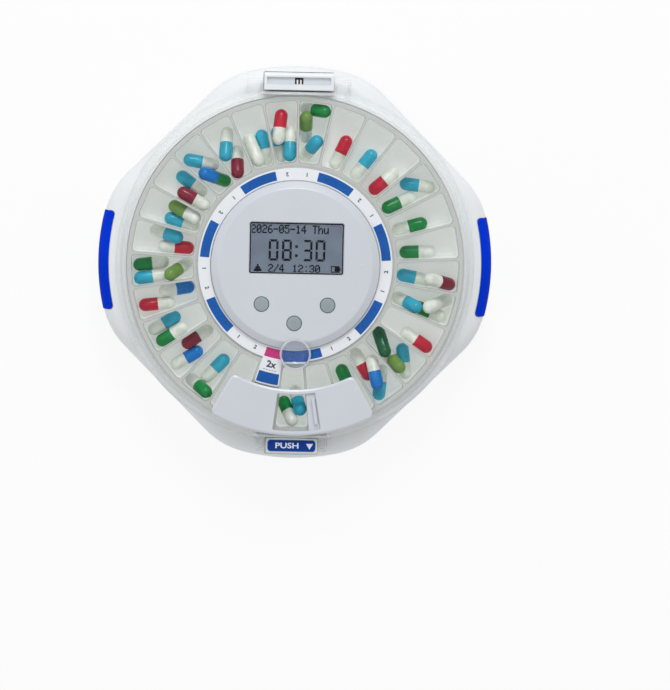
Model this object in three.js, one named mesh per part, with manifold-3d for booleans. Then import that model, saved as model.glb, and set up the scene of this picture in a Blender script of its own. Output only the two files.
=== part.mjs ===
// An electronic pill box. A lobed case holds a motor-driven tray of pill cells, which turns
// under a round clear lid with a dispensing window, and a control panel stands in the hub.
// Millimetres, +Z up, +X right, the press latch at the front (-Y), the lock at the rear (+Y).
// The origin is under the centre of the case, on the surface that the feet stand on.

import * as THREE from "three";
import { mergeVertices } from "three/addons/utils/BufferGeometryUtils.js";
import Module from "manifold-3d";

const wasm = await Module();
wasm.setup();

// Case outline from above: four lobes, and flats between them, outside the lid's pedestal
const lobeSpread = 9;
const lobeFlattening = 9;
const flatSpread = 0.3;
const cornerRadius = 45;

// Case walls and heights
const caseWall = 2.5;
const caseFloor = 2.5;
const bottomEdge = 3;
const partingHeight = 12;
const shoulderRun = 9;
const shoulderDrop = 9;
const lipHeight = 1.8;
const lipWall = 1.1;

// Clearances
const fitGap = 0.3;
const turnGap = 0.8;
const overrun = 4;
const rootDepth = 0.8;

// Rubber feet
const footRadius = 7;
const footStand = 1.5;
const footSeat = 0.5;
const footInset = 21;
const footEdge = 0.6;

// Battery cells and their bay
const cellRadius = 7.1;
const cellBody = 49.2;
const nubRadius = 2.75;
const nubLength = 1.3;
const cellEdge = 0.8;
const cellGap = 0.5;
const cellCount = 4;
const bayWall = 1.6;
const contactRoom = 3;
const contactPlate = 0.8;
const contactRadius = 4.5;
const contactTip = 1.6;
const contactHeight = 12;

// Battery door
const doorThickness = 2;
const doorLedge = 1.5;
const doorCorner = 3;
const doorGroove = 0.8;
const doorGrooveLength = 22;
const doorGrooveSpacing = 3.2;
const doorGrooveCount = 4;
const doorTabWidth = 12;
const doorTabReach = 4;

// Housing screws
const screwInset = 16;
const screwRadius = 1.4;
const screwHeadRadius = 2.9;
const screwHeadHeight = 1.8;
const screwLength = 11;
const screwSink = 2.8;
const screwSeat = 2.8;
const bossRadius = 4.8;

// Gear motor and the drive
const motorRadius = 13;
const motorHeight = 15;
const motorOffset = 8;
const motorEarSpread = 4.5;
const motorEarRadius = 3.4;
const motorEarThickness = 1.2;
const motorCapRadius = 4.5;
const motorCapHeight = 0.8;
const shaftRadius = 2.5;
const earScrewRadius = 1.3;
const earScrewHead = 2.6;
const earScrewHeadHeight = 1.4;
const earScrewLength = 7;
const postRadius = 3.6;
const gearModule = 2;
const pressureAngle = 20;
const ringTeeth = 50;
const pinionTeeth = 14;
const gearWidth = 5;
const pinionLift = 1.2;
const backlash = 0.5;
const rootDepthShare = 1.25;
const pinionWindowAngle = 22;
const gearRimWall = 3.4;

// Pill tray
const cellSlots = 29;
const cellDepth = 16;
const trayRadius = 95;
const trayDraftRun = 1.2;
const trayWall = 1.4;
const trayInnerWall = 1.3;
const trayDivider = 1.2;
const trayFloorThickness = 1.5;
const trayFlange = 2.3;
const trayDraft = 0.5;
const pocketRound = 1.2;
const pocketRoundShare = 0.15;
const skidHeight = 1;
const skidWidth = 2.4;
const skidLength = 12;
const skidCount = 6;
const skidGap = 0.4;
const homeSlot = -1;
const frontAngle = 270;

// Channel for the tray, and the hub column inside it
const channelGap = 1;
const channelThickness = 2;
const channelWall = 1.6;
const rimHeight = 5;
const pedestalLedge = 0.6;
const pedestalWall = 4.2;
const hubGap = 1;
const hubWall = 2.5;

// Dosage ring
const ringThickness = 1.2;
const ringInset = 1.4;
const tabLength = 14.7;
const tabGap = 0.4;

// Clear lid
const lidGap = 0.8;
const lidThickness = 2;
const lidDepth = 15;
const lidMargin = 2;
const skirtFlare = 3.4;
const lidEdge = 2;
const windowMargin = 2;
const windowStartShare = 0.433;
const windowFromAngle = -6.4;
const windowToAngle = 5.8;
const lidFaceInset = 4;
const lidFaceWall = 1.5;
const lidRimGap = 0.5;
const cheekWidth = 5;
const cheekInset = 1.5;
const earWidth = 9;
const earInset = 3.5;
const cheekDrop = 2.5;
const cheekWall = 1.3;

// Dispense panel and its sliding door
const panelMargin = 3;
const panelHalfAngle = 29;
const panelCorner = 3;
const panelHeight = 2.8;
const panelTop = 1.2;
const panelWall = 1.4;
const panelBevel = 0.8;
const panelCutFromAngle = -6.7;
const panelCutToAngle = 9.9;
const doorSlip = 0.2;
const slideThickness = 1.1;
const slideOverlap = 0.9;
const slideAngle = 12.7;
const ribAngle = 8.7;
const ribInset = 2.5;
const ribWidth = 2;
const ribHeight = 2.1;

// Control panel
const hubProud = 2;
const faceThickness = 2;
const bevelRun = 3.7;
const bevelDrop = 2.4;
const spigotWall = 1.2;
const spigotLap = 1.8;
const panelPostRadius = 2.6;
const panelPostInset = 3.6;
const panelPostCount = 3;

// Display
const displayWidth = 53;
const displayHeight = 29;
const displayCentreX = 0.5;
const displayCentreY = 9.6;
const displayCorner = 1.2;
const displayLip = 1;
const lensThickness = 1.2;
const lensSink = 0.2;
const moduleMargin = 1.6;
const moduleBezel = 1.4;
const moduleStep = 0.8;

// Buttons
const buttonRadius = 4.05;
const buttonProud = 0.6;
const buttonEdge = 0.5;
const buttonFlange = 1.1;
const buttonFlangeHeight = 0.8;
const buttonSideX = 18.6;
const buttonSideY = -22.1;
const buttonCentreY = -32.6;
const buttonTravel = 0.8;
const switchSize = 6;
const switchHeight = 1.5;
const plungerRadius = 1.7;
const plungerGap = 0.1;

// Main board and what it carries
const boardMargin = 2.9;
const boardThickness = 1.6;
const boardLift = 0.9;
const boardScrewRadius = 1.1;
const boardScrewHead = 2.3;
const boardScrewHeadHeight = 1.3;
const boardScrewLength = 3.6;
const sensorLength = 8;
const sensorWidth = 5;
const sensorHeight = 5;
const sensorInset = 3.1;
const sensorEyeRadius = 0.9;
const sensorEyeSpacing = 3.2;
const sensorEyeProud = 0.6;
const tiltRadius = 2.6;
const tiltHeight = 6;
const tiltX = 12;
const tiltY = 22;

// Buzzer on the case floor
const buzzerRadius = 11;
const buzzerHeight = 7;
const buzzerRoom = 13.15;
const buzzerHole = 1.5;
const buzzerSound = 2;
const buzzerCollar = 1.2;
const buzzerCollarHeight = 3;
const ventWidth = 1.6;
const ventSpacing = 3.6;
const ventCount = 5;
const ventReach = 8.5;

// Magnifying lens over the ring
const lensRadius = 8.8;
const lensOffset = 3;
const lensShift = 1;
const lensEdge = 1.1;
const lensDome = 0.9;
const lensCrownShare = 0.75;
const lensWall = 1.2;

// Press latch at the front
const latchSide = 1.55;
const latchLidGap = 1.2;
const latchDepth = 8.4;
const latchRise = 10.8;
const latchTopThickness = 2.6;
const latchWeb = 2;
const latchSkin = 1.4;
const latchSideGap = 0.7;
const latchPivotLift = 4.6;
const latchPinRadius = 1.5;
const latchPinLength = 1.7;
const latchNose = 0.7;
const latchNoseHeight = 1.6;
const latchSkinLift = 8;
const latchRound = 1;
const labelWidth = 26.9;
const labelDepth = 6.3;
const labelThickness = 0.7;
const labelSink = 0.3;
const labelCorner = 1.7;
const labelInset = 0.55;
const pocketClear = 0.6;
const latchSwing = 1.4;
const pocketWall = 2;
const pocketFloorLift = 0.5;
const springRadius = 1.7;
const springWire = 0.35;
const springTurns = 4;

// Lock at the rear
const lockHalf = 19.6;
const lockLidGap = 0.9;
const lockDepth = 9.7;
const lockFront = 3.2;
const lockGrooveWidth = 4.2;
const lockGroove = 1.8;
const lockRise = 11.6;
const lockBevel = 1.6;
const lockEnd = 1.6;
const keyWidth = 4.5;
const keyDepth = 3.4;
const keyProngs = 3;
const keyProngWidth = 0.9;
const keyBarDepth = 0.9;
const keyPlate = 1.6;
const sliderWidth = 5.4;
const sliderDepth = 5;
const sliderHeight = 8;
const sliderGap = 0.4;
const lockSpringRadius = 1.9;

// Side grips
const gripLength = 59;
const gripInset = 5;
const gripProud = 0.6;
const gripDepth = 1.2;
const gripLift = 2;
const gripCorner = 2;

// Facets
const weld = 1e-4;
const quarter = Math.PI / 2;
const outlineCornerSteps = 3;
const outlineLobeSteps = 4;
const edgeSteps = 2;
const shoulderSteps = 3;
const bigSteps = 48;
const middleSteps = 24;
const hubSteps = 36;
const smallSteps = 14;
const screwSteps = 10;
const bossSteps = 10;
const panelSteps = 12;
const gripSteps = 5;
const springSides = 5;
const springStepsPerTurn = 7;
const pocketArcSteps = 2;
const ringStepsPerSlot = 2;
const cornerPoints = 3;

// Heights, from the feet up
const bottomFace = footStand;
const floorTop = bottomFace + caseFloor;
const doorTop = bottomFace + doorThickness;
const cellAxis = doorTop + cellGap + cellRadius;
const bayCeiling = cellAxis + cellRadius + cellGap;
const bayTop = bayCeiling + bayWall;
const motorTop = bayTop + motorHeight;
const pinionBottom = motorTop + pinionLift;
const pinionTop = pinionBottom + gearWidth;
const flangeUnder = pinionTop + fitGap;
const trayTop = flangeUnder + trayFlange;
const trayFloor = trayTop - cellDepth;
const trayUnder = trayFloor - trayFloorThickness;
const skidUnder = trayUnder - skidHeight;
const channelFloor = skidUnder - skidGap;
const channelUnder = channelFloor - channelThickness;
const ringTop = trayTop + ringThickness;
const lidUnder = ringTop + lidGap;
const lidTop = lidUnder + lidThickness;
const lidSeat = lidTop - lidDepth;
const hubFace = lidTop + hubProud;
const faceUnder = hubFace - faceThickness;
const columnTop = trayTop;
const boardUnder = pinionTop + boardLift;
const boardTop = boardUnder + boardThickness;
const rimTop = lidSeat + rimHeight;
const gripBottom = partingHeight + gripLift;
const pocketFloor = channelFloor + pocketFloorLift;
const screwHeadSeat = bottomFace + screwSink;
const bossMeet = screwHeadSeat + screwSeat;

// Radii and reaches that follow from others
const ringPitch = gearModule * ringTeeth / 2;
const pinionPitch = gearModule * pinionTeeth / 2;
const shaftReach = ringPitch - pinionPitch;
const motorReach = shaftReach - motorOffset;
const motorEarReach = motorRadius + motorEarSpread;
const hubRadius = ringPitch - gearModule - hubGap;
const hubBore = hubRadius - hubWall;
const trayBore = hubRadius + turnGap;
const trayInner = ringPitch + rootDepthShare * gearModule + gearRimWall + fitGap;
const trayFootRadius = trayRadius - trayDraftRun;
const ringOuter = trayInner - ringInset;
const tabReach = ringOuter + tabLength;
const channelRadius = trayRadius + channelGap;
const screwReach = channelRadius - screwInset;
const lidBore = hubRadius + turnGap;
const lidRadius = channelRadius + lidMargin;
const skirtRadius = lidRadius + skirtFlare;
const lidFace = skirtRadius - lidFaceInset;
const pedestalRadius = skirtRadius + pedestalLedge;
const lobeReach = pedestalRadius + lobeSpread;
const lobeRadius = lobeReach + lobeFlattening;
const flatReach = pedestalRadius + flatSpread;
const footReach = lobeReach - footInset;
const windowOuter = trayRadius - windowMargin;
const windowInner = THREE.MathUtils.lerp(trayInner, trayRadius, windowStartShare);
const panelInner = windowInner - panelMargin;
const panelOuter = windowOuter + panelMargin;
const latchHalf = labelWidth / 2 + latchSide;
const latchInner = lidFace + latchLidGap;
const latchOuter = latchInner + latchDepth;
const labelReach = latchInner + labelInset + labelDepth / 2;
const pocketOuter = latchOuter + latchSwing;
const cheekReach = latchOuter - cheekInset;
const lockInner = lidFace + lockLidGap;
const lockOuter = lockInner + lockDepth;
const lockTopInner = lockInner + lockFront;
const lockTopOuter = lockTopInner + lockGrooveWidth;
const earReach = lockOuter - earInset;
const faceRadius = hubRadius - bevelRun;
const boardRadius = hubBore - boardMargin;
const panelPostReach = boardRadius - panelPostInset;
const sensorReach = boardRadius - sensorInset;
const lensReach = hubRadius + lensOffset;
const slotTurn = 360 / cellSlots;
const bayHalfX = (cellBody + nubLength) / 2 + contactRoom;
const bayHalfY = cellCount * (cellRadius + cellGap / 2);
const buzzerX = bayHalfX + bayWall + buzzerRadius + buzzerRoom;
const lowerInset = caseWall + bottomEdge / 2;

const toRadians = THREE.MathUtils.degToRad;

// Looks
const look = (color, roughness, metalness = 0) =>
  new THREE.MeshStandardMaterial({ color, roughness, metalness });
const caseWhite = look(0xeef1f2, 0.45);
const panelWhite = look(0xd8dbe0, 0.4);
const trayClear = look(0xbfc9c4, 0.35);
const lidClear = look(0xd5dedb, 0.15);
const ringWhite = look(0xf2f3f4, 0.5);
const gripBlue = look(0x0038d2, 0.6);
const labelBlue = look(0x00358f, 0.4);
const buttonGrey = look(0x8c989c, 0.5);
const rubberGrey = look(0x4c5054, 0.9);
const boardGreen = look(0x2d6a45, 0.5);
const darkPlastic = look(0x26282c, 0.5);
const gearWhite = look(0xe8e4d6, 0.5);
const steel = look(0xb9bdc1, 0.35, 1);
const cellWrap = look(0x3f4a57, 0.4);
const displayGrey = look(0x59666f, 0.25);
const lensClear = look(0xe6eaf2, 0.08);

// Solids from three.js geometry

function solidOf(geometry) {
  geometry.deleteAttribute("normal");
  geometry.deleteAttribute("uv");
  const merged = mergeVertices(geometry, weld);
  const places = merged.getAttribute("position").array;
  const corner = (index) => new THREE.Vector3().fromArray(places, 3 * index);
  let triangles = [];
  let volume = 0;
  for (let i = 0; i < merged.index.count; i += 3) {
    const [a, b, c] = merged.index.array.slice(i, i + 3);
    if (a === b || b === c || c === a) continue;
    triangles.push([a, b, c]);
    volume += corner(a).dot(corner(b).cross(corner(c)));
  }
  if (volume < 0) triangles = triangles.map(([a, b, c]) => [a, c, b]);
  const triVerts = new Uint32Array(triangles.flat());
  return new wasm.Manifold(new wasm.Mesh({ numProp: 3, vertProperties: places, triVerts }));
}

function geometryOf(solid) {
  const { vertProperties, triVerts } = solid.getMesh();
  const geometry = new THREE.BufferGeometry();
  geometry.setAttribute("position", new THREE.BufferAttribute(vertProperties, 3));
  geometry.setIndex(new THREE.BufferAttribute(triVerts, 1));
  geometry.computeVertexNormals();
  return geometry;
}

const joined = (solids) => solids.reduce((whole, solid) => whole.add(solid));

function block([x0, x1], [y0, y1], [z0, z1]) {
  const geometry = new THREE.BoxGeometry(x1 - x0, y1 - y0, z1 - z0);
  return solidOf(geometry.translate((x0 + x1) / 2, (y0 + y1) / 2, (z0 + z1) / 2));
}

function rod(radius, [z0, z1], [x, y] = [0, 0], steps = smallSteps) {
  const geometry = new THREE.CylinderGeometry(radius, radius, z1 - z0, steps);
  return solidOf(geometry.rotateX(quarter).translate(x, y, (z0 + z1) / 2));
}

function rodAlongX(radius, [x0, x1], [y, z], steps = smallSteps) {
  const geometry = new THREE.CylinderGeometry(radius, radius, x1 - x0, steps);
  return solidOf(geometry.rotateZ(quarter).translate((x0 + x1) / 2, y, z));
}

function tube(inner, outer, [z0, z1], [x, y] = [0, 0], steps = smallSteps) {
  const profile = [[inner, z0], [outer, z0], [outer, z1], [inner, z1]];
  return turned(profile, steps, [x, y]);
}

function turned(profile, steps = bigSteps, [x, y] = [0, 0]) {
  const points = [...profile, profile[0]].map(([radius, z]) => new THREE.Vector2(radius, z));
  const geometry = new THREE.LatheGeometry(points, steps);
  return solidOf(geometry.rotateX(quarter).translate(x, y, 0));
}

function plate(points, [z0, z1], holes = []) {
  const shape = new THREE.Shape(points);
  shape.holes = holes.map((hole) => new THREE.Path(hole));
  const options = { depth: z1 - z0, steps: 1, bevelEnabled: false };
  return solidOf(new THREE.ExtrudeGeometry(shape, options).translate(0, 0, z0));
}

function alongX(profile, [x0, x1]) {
  const shape = new THREE.Shape(profile.map(([y, z]) => new THREE.Vector2(y, z)));
  const geometry = new THREE.ExtrudeGeometry(shape, { depth: x1 - x0, bevelEnabled: false });
  const turn = new THREE.Matrix4().makeBasis(
    new THREE.Vector3(0, 1, 0),
    new THREE.Vector3(0, 0, 1),
    new THREE.Vector3(1, 0, 0),
  );
  return solidOf(geometry.applyMatrix4(turn).translate(x0, 0, 0));
}

// A loft through outlines of equally many points, each at its own height
function loft(rings) {
  const count = rings[0].points.length;
  const places = rings.flatMap(({ points, z }) => points.flatMap((point) => [point.x, point.y, z]));
  const index = [];
  for (let level = 0; level + 1 < rings.length; level++) {
    for (let i = 0; i < count; i++) {
      const a = level * count + i;
      const b = level * count + (i + 1) % count;
      index.push(a, b, b + count, a, b + count, a + count);
    }
  }
  for (const face of THREE.ShapeUtils.triangulateShape(rings[0].points, [])) {
    index.push(...face.slice().reverse());
  }
  const last = (rings.length - 1) * count;
  for (const face of THREE.ShapeUtils.triangulateShape(rings.at(-1).points, [])) {
    index.push(...face.map((i) => last + i));
  }
  const geometry = new THREE.BufferGeometry();
  geometry.setAttribute("position", new THREE.Float32BufferAttribute(places, 3));
  geometry.setIndex(index);
  return solidOf(geometry);
}

// Outlines

const polar = (radius, angle) =>
  new THREE.Vector2(radius * Math.cos(angle), radius * Math.sin(angle));

const between = (from, to, steps) =>
  Array.from({ length: steps + 1 }, (_, i) => THREE.MathUtils.lerp(from, to, i / steps));

function circle(radius, steps, [x, y] = [0, 0]) {
  const centre = new THREE.Vector2(x, y);
  return between(0, 2 * Math.PI, steps).slice(1).map((angle) => polar(radius, angle).add(centre));
}

function rounded([x0, x1], [y0, y1], corner) {
  const centres = [[x1, y1, -1, -1], [x0, y1, 1, -1], [x0, y0, 1, 1], [x1, y0, -1, 1]];
  return centres.flatMap(([x, y, inX, inY], i) => {
    const centre = new THREE.Vector2(x + inX * corner, y + inY * corner);
    const angles = between(i * quarter, (i + 1) * quarter, cornerPoints);
    return angles.map((angle) => polar(corner, angle).add(centre));
  });
}

// A ring sector between two angles in radians, with its four corners rounded
function sector([inner, outer], [from, to], steps, corner = 0) {
  const cornerOf = (radius, angle, alongR, alongTurn, first) => {
    if (!corner) return [polar(radius, angle)];
    const tip = polar(radius, angle);
    const radial = polar(radius + alongR * corner, angle);
    const tangent = polar(radius, angle + alongTurn * corner / radius);
    const ends = first ? [radial, tangent] : [tangent, radial];
    return new THREE.QuadraticBezierCurve(ends[0], tip, ends[1]).getPoints(cornerPoints);
  };
  const inside = (radius, start, end) =>
    between(start, end, steps).slice(1, -1).map((angle) => polar(radius, angle));
  return [
    ...cornerOf(outer, from, -1, 1, true),
    ...inside(outer, from + corner / outer, to - corner / outer),
    ...cornerOf(outer, to, -1, -1, false),
    ...cornerOf(inner, to, 1, -1, true),
    ...inside(inner, to - corner / inner, from + corner / inner),
    ...cornerOf(inner, from, 1, 1, false),
  ];
}

const lobeCentre = lobeReach - lobeRadius;

// The corner arc that joins a lobe's arc to the flat beside it, and the angle where they meet
function lobeCorner() {
  const half = (flatReach - cornerRadius) * Math.SQRT1_2;
  const reach = lobeRadius - cornerRadius;
  const spare = (half - lobeCentre) ** 2 + half ** 2 - reach ** 2;
  const shift = (lobeCentre + Math.sqrt(lobeCentre ** 2 - 2 * spare)) / 2;
  const centre = new THREE.Vector2(half + shift, half - shift);
  return { centre, turn: Math.atan2(centre.y, centre.x - lobeCentre) };
}

function caseOutline(inset) {
  const { centre, turn } = lobeCorner();
  const mirrored = new THREE.Vector2(centre.x, -centre.y);
  const arc = (middle, radius, angles) =>
    angles.map((angle) => polar(radius - inset, angle).add(middle));
  const lobe = [
    ...arc(mirrored, cornerRadius, between(-quarter / 2, -turn, outlineCornerSteps)),
    ...arc(new THREE.Vector2(lobeCentre, 0), lobeRadius,
      between(-turn, turn, outlineLobeSteps).slice(1, -1)),
    ...arc(centre, cornerRadius, between(turn, quarter / 2, outlineCornerSteps)),
  ];
  const origin = new THREE.Vector2();
  return [0, 1, 2, 3].flatMap((side) =>
    lobe.map((point) => point.clone().rotateAround(origin, side * quarter)));
}

const caseRing = ([inset, z]) => ({ points: caseOutline(inset), z });

// Inset and height of the rounded lower edge and of the shoulder, moved inwards by depth
const lowerEdge = () =>
  between(0, quarter, edgeSteps).map((angle) => [
    bottomEdge * (1 - Math.sin(angle)),
    bottomFace + bottomEdge * (1 - Math.cos(angle)),
  ]);
const shoulder = (depth, steps) =>
  between(0, quarter, steps).map((angle) => [
    shoulderRun - (shoulderRun - depth) * Math.cos(angle),
    lidSeat - shoulderDrop + (shoulderDrop - depth) * Math.sin(angle),
  ]);

// The outside of the upper case, moved inwards by depth
const upperBody = (depth, bottom = partingHeight, steps = shoulderSteps) =>
  loft([[depth, bottom], ...shoulder(depth, steps)].map(caseRing));

const turnedPlace = (reach, angle) => {
  const place = polar(reach, angle);
  return [place.x, place.y];
};
const screwPlaces = [1, 3, 5, 7].map((i) => turnedPlace(screwReach, i * quarter / 2));
const footPlaces = [0, 1, 2, 3].map((i) => turnedPlace(footReach, i * quarter));
const postPlaces = between(quarter, quarter + 2 * Math.PI, panelPostCount)
  .slice(1).map((angle) => turnedPlace(panelPostReach, angle));
const earPlaces = [-1, 1].map((side) => [-motorReach, side * motorEarReach]);

// Lower case

function bottomShell() {
  const outside = loft([...lowerEdge(), [0, partingHeight]].map(caseRing));
  const cavity = loft([
    [lowerInset, floorTop],
    [caseWall, floorTop + bottomEdge / 2],
    [caseWall, partingHeight + overrun],
  ].map(caseRing));
  const lip = loft([[caseWall - lipWall, partingHeight - lipHeight],
    [caseWall - lipWall, partingHeight + lipHeight]].map(caseRing)).subtract(cavity);
  const bay = block([-bayHalfX - bayWall, bayHalfX + bayWall],
    [-bayHalfY - bayWall, bayHalfY + bayWall], [bottomFace + doorThickness, bayTop]);
  const bosses = screwPlaces.map((place) => rod(bossRadius, [bottomFace, bossMeet], place, bossSteps));
  const collar = tube(buzzerRadius + fitGap, buzzerRadius + fitGap + buzzerCollar,
    [floorTop - rootDepth, floorTop + buzzerCollarHeight], [buzzerX, 0]);
  const posts = earPlaces.map((place) =>
    rod(postRadius, [floorTop - rootDepth, motorTop - motorEarThickness], place, bossSteps));
  let shell = joined([outside.subtract(cavity), lip, bay, collar, ...bosses, ...posts]);
  for (const cut of lowerCuts()) shell = shell.subtract(cut);
  return shell;
}

function lowerCuts() {
  const below = bottomFace - overrun;
  const cuts = [
    block([-bayHalfX, bayHalfX], [-bayHalfY, bayHalfY], [below, bayCeiling]),
    doorPlate(0, [below, doorTop]),
  ];
  for (const place of screwPlaces) {
    cuts.push(rod(screwHeadRadius + fitGap, [below, screwHeadSeat], place, screwSteps));
    cuts.push(rod(screwRadius + fitGap, [below, bossMeet + overrun], place, screwSteps));
  }
  for (const place of footPlaces) {
    cuts.push(rod(footRadius + fitGap, [below, bottomFace + footSeat], place));
  }
  for (const [x, y] of earPlaces) {
    cuts.push(rod(earScrewRadius + fitGap, [motorTop - earScrewLength - fitGap, motorTop], [x, y],
      screwSteps));
  }
  const firstVent = -ventSpacing * (ventCount - 1) / 2;
  for (let i = 0; i < ventCount; i++) {
    const x = buzzerX + firstVent + i * ventSpacing;
    const half = Math.sqrt(ventReach ** 2 - (x - buzzerX) ** 2);
    const width = [x - ventWidth / 2, x + ventWidth / 2];
    cuts.push(block(width, [-half, half], [below, floorTop + fitGap]));
  }
  return cuts;
}

// The door's outline with its tab, drawn in by a gap
function doorPlate(gap, heights) {
  const halfX = bayHalfX + doorLedge - gap;
  const halfY = bayHalfY + doorLedge - gap;
  const tab = doorTabWidth / 2 - gap;
  return plate(rounded([-halfX, halfX], [-halfY, halfY], doorCorner), heights)
    .add(block([-tab, tab], [-halfY - doorTabReach, -halfY + doorCorner], heights));
}

function batteryDoor() {
  let door = doorPlate(fitGap, [bottomFace, doorTop]);
  for (let i = 0; i < doorGrooveCount; i++) {
    const y = -bayHalfY + doorLedge + (i + 1) * doorGrooveSpacing;
    door = door.subtract(block([-doorGrooveLength / 2, doorGrooveLength / 2],
      [y - doorGroove / 2, y + doorGroove / 2], [bottomFace - overrun, bottomFace + doorGroove]));
  }
  return door;
}

function foot() {
  const top = bottomFace + footSeat;
  return turned([[0, 0], [footRadius - footEdge, 0], [footRadius, footEdge],
    [footRadius, top], [0, top]], smallSteps);
}

// Upper case

function topShell() {
  const pedestal = rod(pedestalRadius, [partingHeight, lidSeat], [0, 0], bigSteps);
  const rim = rod(channelRadius + channelWall, [partingHeight, rimTop], [0, 0], bigSteps);
  const well = rod(channelRadius, [channelFloor, rimTop + overrun], [0, 0], bigSteps);
  const bore = rod(hubBore, [partingHeight - overrun, columnTop + overrun], [0, 0], hubSteps);
  const column = rod(hubRadius, [channelUnder, columnTop], [0, 0], hubSteps);
  const lower = loft([[caseWall, partingHeight - overrun], [caseWall, channelUnder]].map(caseRing));
  const inner = rod(pedestalRadius - pedestalWall + caseWall, [channelUnder - overrun, lidSeat],
    [0, 0], bigSteps);
  const upper = upperBody(caseWall, channelUnder - rootDepth, edgeSteps).subtract(inner);
  const rebate = loft([[caseWall - lipWall - fitGap, partingHeight - overrun],
    [caseWall - lipWall - fitGap, partingHeight + lipHeight + fitGap]].map(caseRing));
  const pockets = [latchPocket(), lockPocket()];
  let shell = joined([upperBody(0), pedestal, rim]);
  shell = shell.subtract(lower).subtract(upper).subtract(rebate);
  shell = joined([shell, ...pockets.map(({ around }) => around.intersect(upperBody(rootDepth)))]);
  shell = joined([shell, ...screwPlaces.map((place) =>
    rod(bossRadius, [bossMeet, channelUnder + rootDepth], place, bossSteps))]);
  shell = shell.subtract(well).add(column).subtract(bore);
  for (const { room } of pockets) shell = shell.subtract(room);
  for (const place of screwPlaces) {
    shell = shell.subtract(rod(screwRadius + fitGap,
      [bossMeet - overrun, screwHeadSeat + screwLength + fitGap], place, screwSteps));
  }
  const gripBed = upperBody(gripDepth, partingHeight - overrun);
  for (const side of [-1, 1]) shell = shell.subtract(gripZone(side, fitGap).subtract(gripBed));
  return shell.subtract(latchPinHoles()).subtract(pinionWindow()).subtract(sensorWindow());
}

function latchPocket() {
  const half = latchHalf + cheekWidth + fitGap;
  const [near, far] = [latchInner - pocketClear, pocketOuter];
  const lift = [pocketFloor - pocketWall, lidSeat];
  const around = block([-half - pocketWall, half + pocketWall], [-far - pocketWall, -channelRadius], lift);
  const room = block([-latchHalf, latchHalf], [-far, -near], [pocketFloor, lidTop]);
  return { around, room };
}

function lockPocket() {
  const half = lockHalf + fitGap;
  const [near, far] = [lockInner - fitGap, lockOuter + fitGap];
  const lift = [pocketFloor - pocketWall, lidSeat];
  const around = block([-half - pocketWall, half + pocketWall], [channelRadius, far + pocketWall], lift);
  const room = block([-half, half], [near, far], [pocketFloor, lidTop]);
  return { around, room };
}

// Where the pinion reaches through the hub column to the ring gear
function pinionWindow() {
  const turn = toRadians(pinionWindowAngle);
  const points = sector([hubBore - overrun, hubRadius + turnGap / 2],
    [Math.PI - turn, Math.PI + turn], cornerPoints);
  return plate(points, [pinionBottom - fitGap, pinionTop + fitGap]);
}

// Where the index sensor looks out at the ring gear
function sensorWindow() {
  const half = sensorLength / 2;
  return block([hubBore - overrun, hubRadius + turnGap / 2], [-half, half],
    [pinionBottom - fitGap, pinionTop + fitGap]);
}

const latchPivot = [-latchInner - latchWeb, pocketFloor + latchPivotLift];

function latchPinHoles() {
  const reach = latchHalf + latchPinLength - latchSideGap + fitGap;
  return rodAlongX(latchPinRadius + fitGap, [-reach, reach], latchPivot, screwSteps);
}

function gripZone(side, gap) {
  const turn = Math.asin((gripLength / 2 + gap) / lobeRadius);
  const radii = [lobeRadius - gripInset - gap, lobeRadius + overrun];
  const points = sector(radii, [-turn, turn], gripSteps, gripCorner);
  const spread = points.map((point) =>
    new THREE.Vector2(side * (point.x + lobeCentre), point.y));
  return plate(spread, [gripBottom - gap, lidSeat + overrun]);
}

function grip(side) {
  const skin = upperBody(-gripProud, gripBottom - rootDepth);
  const bed = upperBody(gripDepth - fitGap, gripBottom - overrun);
  return skin.subtract(bed).intersect(gripZone(side, 0));
}

// Press latch

function latchButton() {
  const { top, under, bottom, skinBottom } = latchLevels();
  const profile = [
    [-latchInner, bottom],
    [-latchInner, top - latchNoseHeight - latchRound],
    [-latchInner + latchNose, top - latchNoseHeight],
    [-latchInner + latchNose, top - latchRound],
    [-latchInner, top],
    [-latchOuter + latchRound, top],
    [-latchOuter, top - latchRound],
    [-latchOuter, skinBottom],
    [-latchOuter + latchSkin, skinBottom],
    [-latchOuter + latchSkin, under],
    [-latchInner - latchWeb, under],
    [-latchInner - latchWeb, bottom],
  ];
  const half = latchHalf - latchSideGap;
  const reach = half + latchPinLength;
  const seat = plate(labelOutline(fitGap), [top - labelSink, top + overrun]);
  const pins = rodAlongX(latchPinRadius, [-reach, reach], latchPivot, screwSteps);
  const pinZone = block([-reach, reach], [-latchInner - latchWeb - latchPinRadius, -latchInner],
    [bottom - overrun, under]);
  const spring = rod(springRadius + springWire + fitGap, [latchPivot[1] - latchPinRadius, under],
    [0, latchSpringY()], screwSteps);
  return alongX(profile, [-half, half]).add(pins.intersect(pinZone)).subtract(seat).subtract(spring);
}

function latchLevels() {
  const top = lidSeat + latchRise;
  return {
    top,
    under: top - latchTopThickness,
    bottom: latchPivot[1] - latchPinRadius,
    skinBottom: pocketFloor + latchSkinLift,
  };
}

const latchSpringY = () => -(latchInner + latchWeb + latchOuter - latchSkin) / 2;

const labelOutline = (gap) => rounded([-labelWidth / 2 - gap, labelWidth / 2 + gap],
  [-labelReach - labelDepth / 2 - gap, -labelReach + labelDepth / 2 + gap], labelCorner);

function latchLabel() {
  const base = latchLevels().top - labelSink;
  return plate(labelOutline(0), [base, base + labelThickness]);
}

class Helix extends THREE.Curve {
  constructor(radius, bottom, top, turns) {
    super();
    Object.assign(this, { radius, bottom, top, turns });
  }

  getPoint(share, target = new THREE.Vector3()) {
    const place = polar(this.radius, 2 * Math.PI * this.turns * share);
    return target.set(place.x, place.y, THREE.MathUtils.lerp(this.bottom, this.top, share));
  }
}

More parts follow.
